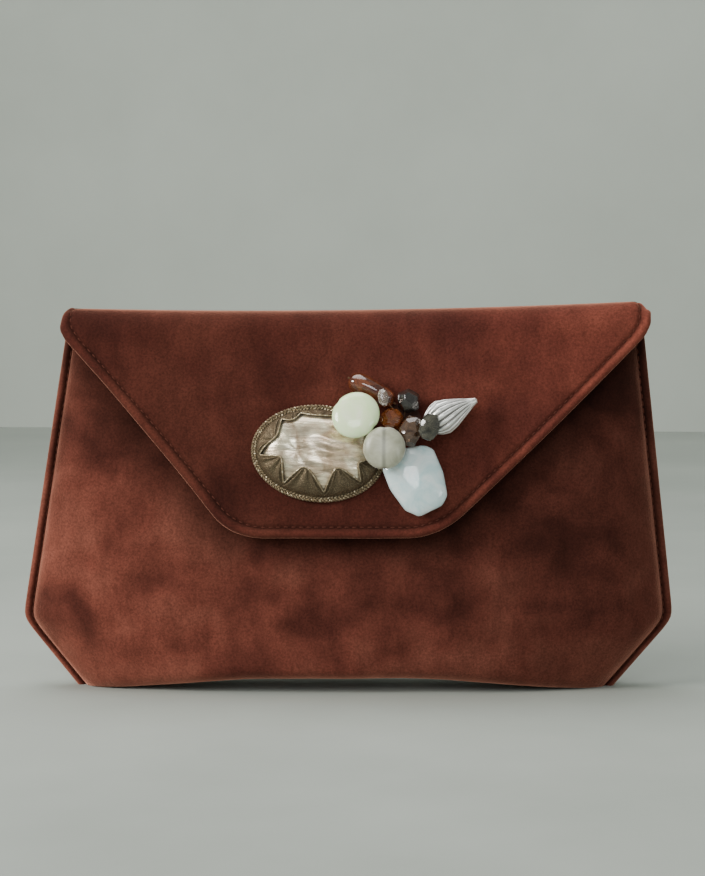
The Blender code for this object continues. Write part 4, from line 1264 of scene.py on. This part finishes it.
def rim_points(count):
    """Points, inward normals and angles round the pleated frame's outer edge."""
    angle = np.arange(count) * TAU / count
    points = np.stack([RIM["a"] * np.cos(angle), RIM["b"] * np.sin(angle)], 1)
    inward = -np.stack([np.cos(angle) / RIM["a"], np.sin(angle) / RIM["b"]], 1)
    inward /= np.linalg.norm(inward, axis=1, keepdims=True)
    return points, inward, angle


def pleat_depths(angle):
    """How far the frame's folded points reach in at each angle, and the share of the pleat there."""
    turn = np.degrees(angle) % 360
    depth, share = 0 * turn, 0 * turn
    for start, peak, stop, reach in PLEATS:
        for whole in (0, 360):
            here = (turn + whole >= start) & (turn + whole < stop)
            place = (turn + whole)[here]
            climb = np.where(place < peak, (place - start) / (peak - start), (stop - place) / (stop - peak))
            depth[here] = reach * MM * np.sin(climb * math.pi / 2) ** 0.9
            share[here] = (place - start) / (stop - start)
    return depth, share


def frame_point(points, inward, depth, share, level):
    """A point of the pleated frame at a level from 0, its outer edge, to 1, its folded edge."""
    place = points + inward * (depth * level)[..., None]
    round_share = np.clip((place[..., 0] / RIM["a"]) ** 2 + (place[..., 1] / RIM["b"]) ** 2, 0, 0.999)
    height = DOME["base"] - 0.5 * MM + (DOME["height"] + 1.0 * MM) * (1 - round_share) ** 0.5
    spread = (share - 0.5) / (1.15 - 0.9 * level**1.5)
    folds = 0.42 * MM * np.cos(TAU * 2.5 * spread)
    folds = folds * smooth_step(0.0, 0.35, level) * smooth_step(1.02, 0.8, level)
    return np.concatenate([place, (height + folds)[..., None]], -1)


def make_frame(looks):
    """Pleated metallic cloth folded into points over the dome's flank, with a corded edge."""
    points, inward, angle = rim_points(1440)
    reach, share = pleat_depths(angle)
    depth = 1.7 * MM + reach
    levels = np.linspace(0, 1, 20)
    grid = np.array([frame_point(points, inward, depth, share, level + 0 * depth) for level in levels])
    tucked = grid[-1:] - np.array((0, 0, 0.9 * MM))
    cloth = surface("frame_cloth", np.concatenate([grid, tucked]), looks["bronze"], around=True)
    edge = tube("frame_cord", grid[-1] + (0, 0, 0.15 * MM), 0.3 * MM, looks["cord"], closed=True)
    settle(cloth, "flap", "bronze", "cabochon_frame", place=cabochon_place())
    settle(edge, "flap", "bronze", place=cabochon_place())


def make_braid(looks):
    """Three plaited strands round the frame."""
    count = 1500
    angle = np.arange(count) * TAU / count
    a, b = 26.4 * MM, 18.8 * MM
    centre = np.stack([a * np.cos(angle), b * np.sin(angle), 1.3 * MM + 0 * angle], 1)
    out = np.stack([np.cos(angle) / a, np.sin(angle) / b, 0 * angle], 1)
    out /= np.linalg.norm(out, axis=1, keepdims=True)
    crossings = 38
    strands = []
    for k in range(3):
        phase = crossings * angle + TAU * k / 3
        weave = out * (0.78 * MM * np.sin(phase))[:, None]
        height = np.array((0, 0, 1.0)) * (0.42 * MM * np.sin(2 * phase))[:, None]
        path = centre + weave + height
        strands.append(tube("strand", path, 0.5 * MM, looks["braid"], closed=True, sides=6))
    settle(joined("braid", strands), "flap", "bronze", "braid_trim", place=cabochon_place())


def lens(name, radii, look, bore):
    """A round flattened bead with a full edge, dented where its bore comes out."""
    lift = np.linspace(-math.pi / 2, math.pi / 2, 40)[:, None]
    angles = np.arange(80)[None] * TAU / 80
    radius = np.cos(lift) ** 0.72
    x, y = radius * np.cos(angles), radius * np.sin(angles)
    z = np.sin(lift) + 0 * angles
    points = np.stack([x * radii[0], y * radii[1], z * radii[2]], -1)
    near = np.exp(-((x * radii[0]) / bore) ** 2) * smooth_step(0.9, 1.0, np.abs(y))
    points[..., 1] *= 1 - 0.05 * near
    return surface(name, points, look, around=True, poles=True)


def tilted(x, y, h, tip=0.0, roll=0.0, turn=0.0):
    """A place on the flap plane, tipped about x, rolled about y and turned about z, in degrees."""
    spin = Matrix.Rotation(math.radians(turn), 4, "Z") @ Matrix.Rotation(math.radians(roll), 4, "Y")
    return PLANE @ Matrix.Translation((x, y, h)) @ spin @ Matrix.Rotation(math.radians(tip), 4, "X")


def make_round_beads(looks):
    centre = on_plane("mint_coin_bead")
    coin = lens("mint_coin", (9.9 * MM, 9.5 * MM, 3.4 * MM), looks["mint_stone"], bore=1.2 * MM)
    settle(coin, "flap", "mint_stone", "mint_coin_bead", place=tilted(*centre, tip=-8, roll=8, turn=55))
    centre = on_plane("clouded_bead")
    cloud = lens("clouded_round", (8.5 * MM, 8.7 * MM, 3.9 * MM), looks["cloud_stone"], bore=1.3 * MM)
    settle(cloud, "flap", "cloud_stone", "clouded_bead", place=tilted(*centre))
    bore = [(0.15 * MM * math.sin(9 * t), 8.4 * MM * t, 0.3 * MM) for t in np.linspace(-1, 1, 24)]
    drilled = tube("clouded_bore", bore, BORE_RADIUS, looks["thread"])
    settle(drilled, "flap", "thread", place=tilted(*centre, turn=4))


def gem(name, size, cuts, look, seed):
    """A cut bead: an ellipsoid sliced by flat facets in rings, its edges slightly worn.

    Each ring of cuts is its lift in radians, its count and its distance from the middle of the unit ball.
    """
    rng = np.random.default_rng(seed)
    work = bmesh.new()
    bmesh.ops.create_uvsphere(work, u_segments=24, v_segments=14, radius=1.0)
    for level, count, depth in cuts:
        for k in range(count):
            turn = TAU * (k + 0.5 * (level != 0)) / count + rng.uniform(-0.12, 0.12)
            lift = level + rng.uniform(-0.08, 0.08)
            out = Vector((math.cos(turn) * math.cos(lift), math.sin(turn) * math.cos(lift), math.sin(lift)))
            slice_off(work, out * depth * rng.uniform(0.98, 1.02), out)
    bmesh.ops.scale(work, vec=Vector(size), verts=work.verts)
    bmesh.ops.dissolve_limit(work, angle_limit=math.radians(4), verts=work.verts, edges=work.edges)
    wear_edges(work, GEM_WEAR, 2, 0.6)
    return object_from(work, name, look, crease=28)


def slice_off(work, point, normal):
    """Cuts away what lies beyond a plane and closes the cut."""
    geometry = work.verts[:] + work.edges[:] + work.faces[:]
    cut = bmesh.ops.bisect_plane(work, geom=geometry, plane_co=point, plane_no=normal, clear_outer=True)
    edges = [item for item in cut["geom_cut"] if isinstance(item, bmesh.types.BMEdge)]
    if edges:
        bmesh.ops.edgenet_fill(work, edges=edges)


SIDE_CUTS = ((0.0, 8, 0.9), (0.75, 7, 0.86), (-0.75, 7, 0.86), (1.57, 1, 0.82), (-1.57, 1, 0.82))
CHIP_CUTS = ((0.1, 6, 0.82), (0.8, 5, 0.8), (-0.8, 5, 0.8), (1.57, 1, 0.78))


def make_small_beads(looks):
    """The small cut beads of the cluster."""
    for node, size, cuts, look, slot, spin in (
        ("amber_round_bead", (4.9, 4.8, 4.5), SIDE_CUTS, "honey", "amber", dict(tip=20, roll=25)),
        ("crystal_bead", (2.3, 3.6, 2.2), SIDE_CUTS, "crystal", "cloud_stone", dict(turn=10)),
        ("smoky_bead", (5.2, 5.4, 4.8), CHIP_CUTS, "smoke", "smoke", dict(tip=25, roll=-20, turn=20)),
        ("brown_bead", (5.1, 7.0, 4.0), CHIP_CUTS, "umber", "amber", dict(tip=-12, roll=10, turn=-14)),
        ("olive_bead", (4.3, 5.9, 3.1), SIDE_CUTS, "olive", "smoke", dict(tip=8, roll=12, turn=-12)),
    ):
        centre = on_plane(node)
        bead = gem(node.replace("_bead", "_gem"), [s * MM for s in size], cuts, looks[look], seed=len(node))
        settle(bead, "flap", slot, node, place=tilted(*centre, **spin))


def axis_place(joint):
    """A frame at a spinning bead's joint, its local Z along the joint's axis."""
    turn = Vector(JOINTS[joint]["axis"]).to_track_quat("Z", "Y").to_matrix().to_4x4()
    return Matrix.Translation(Vector(JOINTS[joint]["pos_m"])) @ turn


# The silver teardrop's radius, in millimetres, at shares of its length
TEARDROP = (
    (0, 3.1), (0.07, 4.6), (0.2, 6.5), (0.33, 7.2), (0.5, 6.2),
    (0.7, 4.1), (0.88, 2.1), (0.965, 1.45), (1.0, 1.1),
)


def make_silver_bead(looks):
    """A fluted teardrop, its ridges drawn together at both ends."""
    length, flutes = 22.6 * MM, 16
    share = np.linspace(0, 1, 70)
    radii = np.interp(share, *zip(*TEARDROP))
    kernel = np.ones(5) / 5
    radii = np.convolve(np.pad(radii, 2, mode="edge"), kernel, "valid") * MM
    angles = np.arange(flutes * 16)[None] * TAU / (flutes * 16)
    phase = 0.5 - 0.5 * np.cos(flutes * (angles + 0.55 * share[:, None]))
    cut = phase**3 * smooth_step(0.97, 0.8, share)[:, None] * smooth_step(0.0, 0.1, share)[:, None]
    radius = radii[:, None] * (1 - 0.12 * cut)
    body = lathed(radius, angles, (share * length)[:, None])
    top = body[-1:] * (0.55, 0.55, 1) + (0, 0, 0.25 * MM)
    bore_low, bore_top = (lathed(BORE_RADIUS, angles, height) for height in (0.0, length))
    points = np.concatenate([bore_low, body, top, bore_top])
    bead = surface("silver_teardrop", points, looks["silver"], around=True)
    groove = np.concatenate([0 * cut[:1], cut, 0 * cut[:1], 0 * cut[:1] + 1])
    store(bead.data, "groove", groove)
    place = axis_place("silver_bead_spin") @ Matrix.Translation((0, 0, -2 * MM))
    settle(bead, "silver_bead", "silver", "silver_bead", place=place)


def make_amber_barrel(looks):
    """A long pebble of amber glass with softly dented sides and a drilled end."""
    share = np.linspace(-1, 1, 60)[:, None]
    angles = np.arange(72)[None] * TAU / 72
    swell = (1 - np.abs(share) ** 3.2) ** 0.5
    dents = 1 + 0.05 * np.sin(3 * angles + 2 * share) + 0.04 * np.sin(2 * angles - 3 * share)
    radius = (0.8 + 3.75 * swell) * dents * MM
    points = lathed(radius, angles, 10.3 * MM * share)
    low, high = (lathed(BORE_RADIUS, angles, height) for height in (-9.6 * MM, 9.6 * MM))
    bead = surface("amber_pebble", np.concatenate([low, points, high]), looks["amber"], around=True)
    settle(bead, "amber_barrel", "amber", "amber_barrel", place=axis_place("amber_barrel_spin"))


# The nugget's corners in millimetres: its girdle, the heights and scales at which that repeats, and its top
NUGGET_GIRDLE = (
    (-9.6, 11.0), (-2.0, 13.6), (4.2, 14.2), (7.8, 12.6), (11.8, 3.0), (13.5, -6.4), (11.4, -10.6),
    (2.0, -15.2), (-3.8, -12.6), (-10.0, -4.0), (-13.2, 4.4),
)
NUGGET_TIERS = ((-4.2, 0.6), (-1.6, 0.97), (0.9, 1.0), (2.5, 0.86))
NUGGET_TOP = ((-3.4, 5.0, 4.7), (2.6, 6.2, 4.6), (3.4, -3.6, 4.9), (-1.2, -6.4, 4.6), (-5.6, 1.2, 4.4))


def make_aqua_stone(looks):
    """A tumbled, faceted nugget: a hull of listed corners with worn edges."""
    work = bmesh.new()
    for x, y in NUGGET_GIRDLE:
        for height, scale in NUGGET_TIERS:
            work.verts.new((x * scale * MM, y * scale * MM, height * MM))
    for x, y, height in NUGGET_TOP:
        work.verts.new((x * MM, y * MM, height * MM))
    bmesh.ops.convex_hull(work, input=work.verts)
    bmesh.ops.delete(work, geom=[vert for vert in work.verts if not vert.link_faces], context="VERTS")
    bmesh.ops.dissolve_limit(work, angle_limit=math.radians(5), verts=work.verts, edges=work.edges)
    wear_edges(work, 1.2 * MM, 4, 0.5)
    bmesh.ops.recalc_face_normals(work, faces=work.faces)
    stone = object_from(work, "aqua_nugget", looks["aqua_stone"], crease=35)
    settle(stone, "aqua_stone", "aqua_stone", "aqua_stone", place=tilted(*on_plane("aqua_stone")))


def make_sewing_threads(looks):
    """The threads that hold the bead cluster down, seen between the beads."""
    ends = ("amber_round_bead", "crystal_bead", "smoky_bead", "brown_bead", "olive_bead", "mint_coin_bead")
    pad = on_plane("bead_pad")
    runs = []
    for node in ends:
        top = on_plane(node)
        path = [
            Vector((top.x, top.y, 1.5 * MM)).lerp(Vector((pad.x, pad.y, 1.5 * MM)), 0.4),
            Vector((top.x, top.y, top.z * 0.5)),
            top,
            top.lerp(pad, 0.55) + Vector((0, 0, 3 * MM)),
            Vector((pad.x, pad.y, 2.2 * MM)),
        ]
        path = np.array([tuple(point) for point in path])
        fine = sampled(path, np.linspace(0, 4, 33), range(5))
        for _ in range(3):
            fine[1:-1] = (fine[:-2] + 2 * fine[1:-1] + fine[2:]) / 4
        runs.append(tube("run", fine, 0.22 * MM, looks["thread"], sides=6))
    settle(joined("sewing_threads", runs), "flap", "thread")


# ---------------------------------------------------------------- CAD nodes that still show or lie inside

def dress_cad_nodes(looks):
    for node, look in (
        ("snap_socket_washer", "snap"), ("snap_stud_washer", "snap"), ("cabochon_pad", "felt"),
        ("bead_pad", "felt"), ("silver_bead_wire", "snap"), ("amber_barrel_thread", "thread"),
        ("aqua_stone_thread", "thread"),
    ):
        mesh = frame["nodes"][node].data
        mesh.materials.clear()
        mesh.materials.append(looks[look])


# ---------------------------------------------------------------- setting, lights and camera

def make_setting():
    pale = floor_look("floor", (0.345, 0.375, 0.34), (0.405, 0.435, 0.395))
    wall = floor_look("backdrop", (0.44, 0.475, 0.425), (0.49, 0.525, 0.475))
    left, right = (BACKDROP_DISTANCE + x * math.tan(BACKDROP_TURN) for x in (-3, 3))
    for name, look, corners in (
        ("floor", pale, ((-3, -2, 0), (3, -2, 0), (3, right, 0), (-3, left, 0))),
        ("backdrop", wall, ((-3, left, 0), (3, right, 0), (3, right, 2.5), (-3, left, 2.5))),
    ):
        mesh = bpy.data.meshes.new(name)
        mesh.from_pydata(corners, [], [(0, 1, 2, 3)])
        object_of(name, mesh, look)


def make_light(name, place, aim, size, power, colour=(1.0, 1.0, 1.0)):
    data = bpy.data.lights.new(name, "AREA")
    data.shape = "DISK"
    data.size, data.energy, data.color = size, power, colour
    light = linked(name, data)
    light.location = place
    light.rotation_euler = (Vector(aim) - Vector(place)).to_track_quat("-Z", "Y").to_euler()


def make_lights():
    make_light("key", (-1.3, -0.65, 0.75), (0, 0, 0.08), 0.6, 24.0, (1.0, 0.97, 0.93))
    make_light("window", (-0.25, -1.7, 0.85), (0, 0, 0.1), 0.7, 9.0, (0.96, 0.98, 1.0))
    make_light("fill", (1.1, -1.2, 0.25), (0, 0, 0.1), 0.5, 3.0, (0.96, 0.98, 1.0))
    make_light("top", (-0.3, 0.3, 1.5), (0, 0.3, 0), 1.2, 15.0)
    world = bpy.data.worlds.new("studio")
    bpy.context.scene.world = world
    world.use_nodes = True
    world.node_tree.nodes["Background"].inputs["Color"].default_value = (0.80, 0.84, 0.80, 1.0)
    world.node_tree.nodes["Background"].inputs["Strength"].default_value = 0.55


def make_camera():
    data = bpy.data.cameras.new("camera")
    data.sensor_width = 36.0
    data.lens = VIEW_LENS
    data.clip_start, data.clip_end = 0.05, 20.0
    camera = linked("camera", data)
    back = Vector((
        math.sin(VIEW_AZIMUTH) * math.cos(VIEW_ELEVATION),
        -math.cos(VIEW_AZIMUTH) * math.cos(VIEW_ELEVATION),
        math.sin(VIEW_ELEVATION),
    ))
    turn = (-back).to_track_quat("-Z", "Y").to_matrix().to_4x4() @ Matrix.Rotation(VIEW_ROLL, 4, "Z")
    camera.matrix_world = Matrix.Translation(VIEW_TARGET + back * VIEW_DISTANCE) @ turn
    bpy.context.scene.camera = camera


def build():
    looks = make_looks()
    for make in (
        make_front_velvet, make_back_velvet, make_flap_velvet, make_flap_lining, make_stiffener,
        make_wadding, make_base_inside, make_linings, make_pocket, make_flap_stitching,
        make_flange_stitching, make_mouth_stitching, make_snap, make_dome, make_frame, make_braid,
        make_round_beads, make_small_beads, make_silver_bead, make_amber_barrel, make_aqua_stone,
        make_sewing_threads, dress_cad_nodes,
    ):
        make(looks)
    make_setting()
    make_lights()
    make_camera()


build()
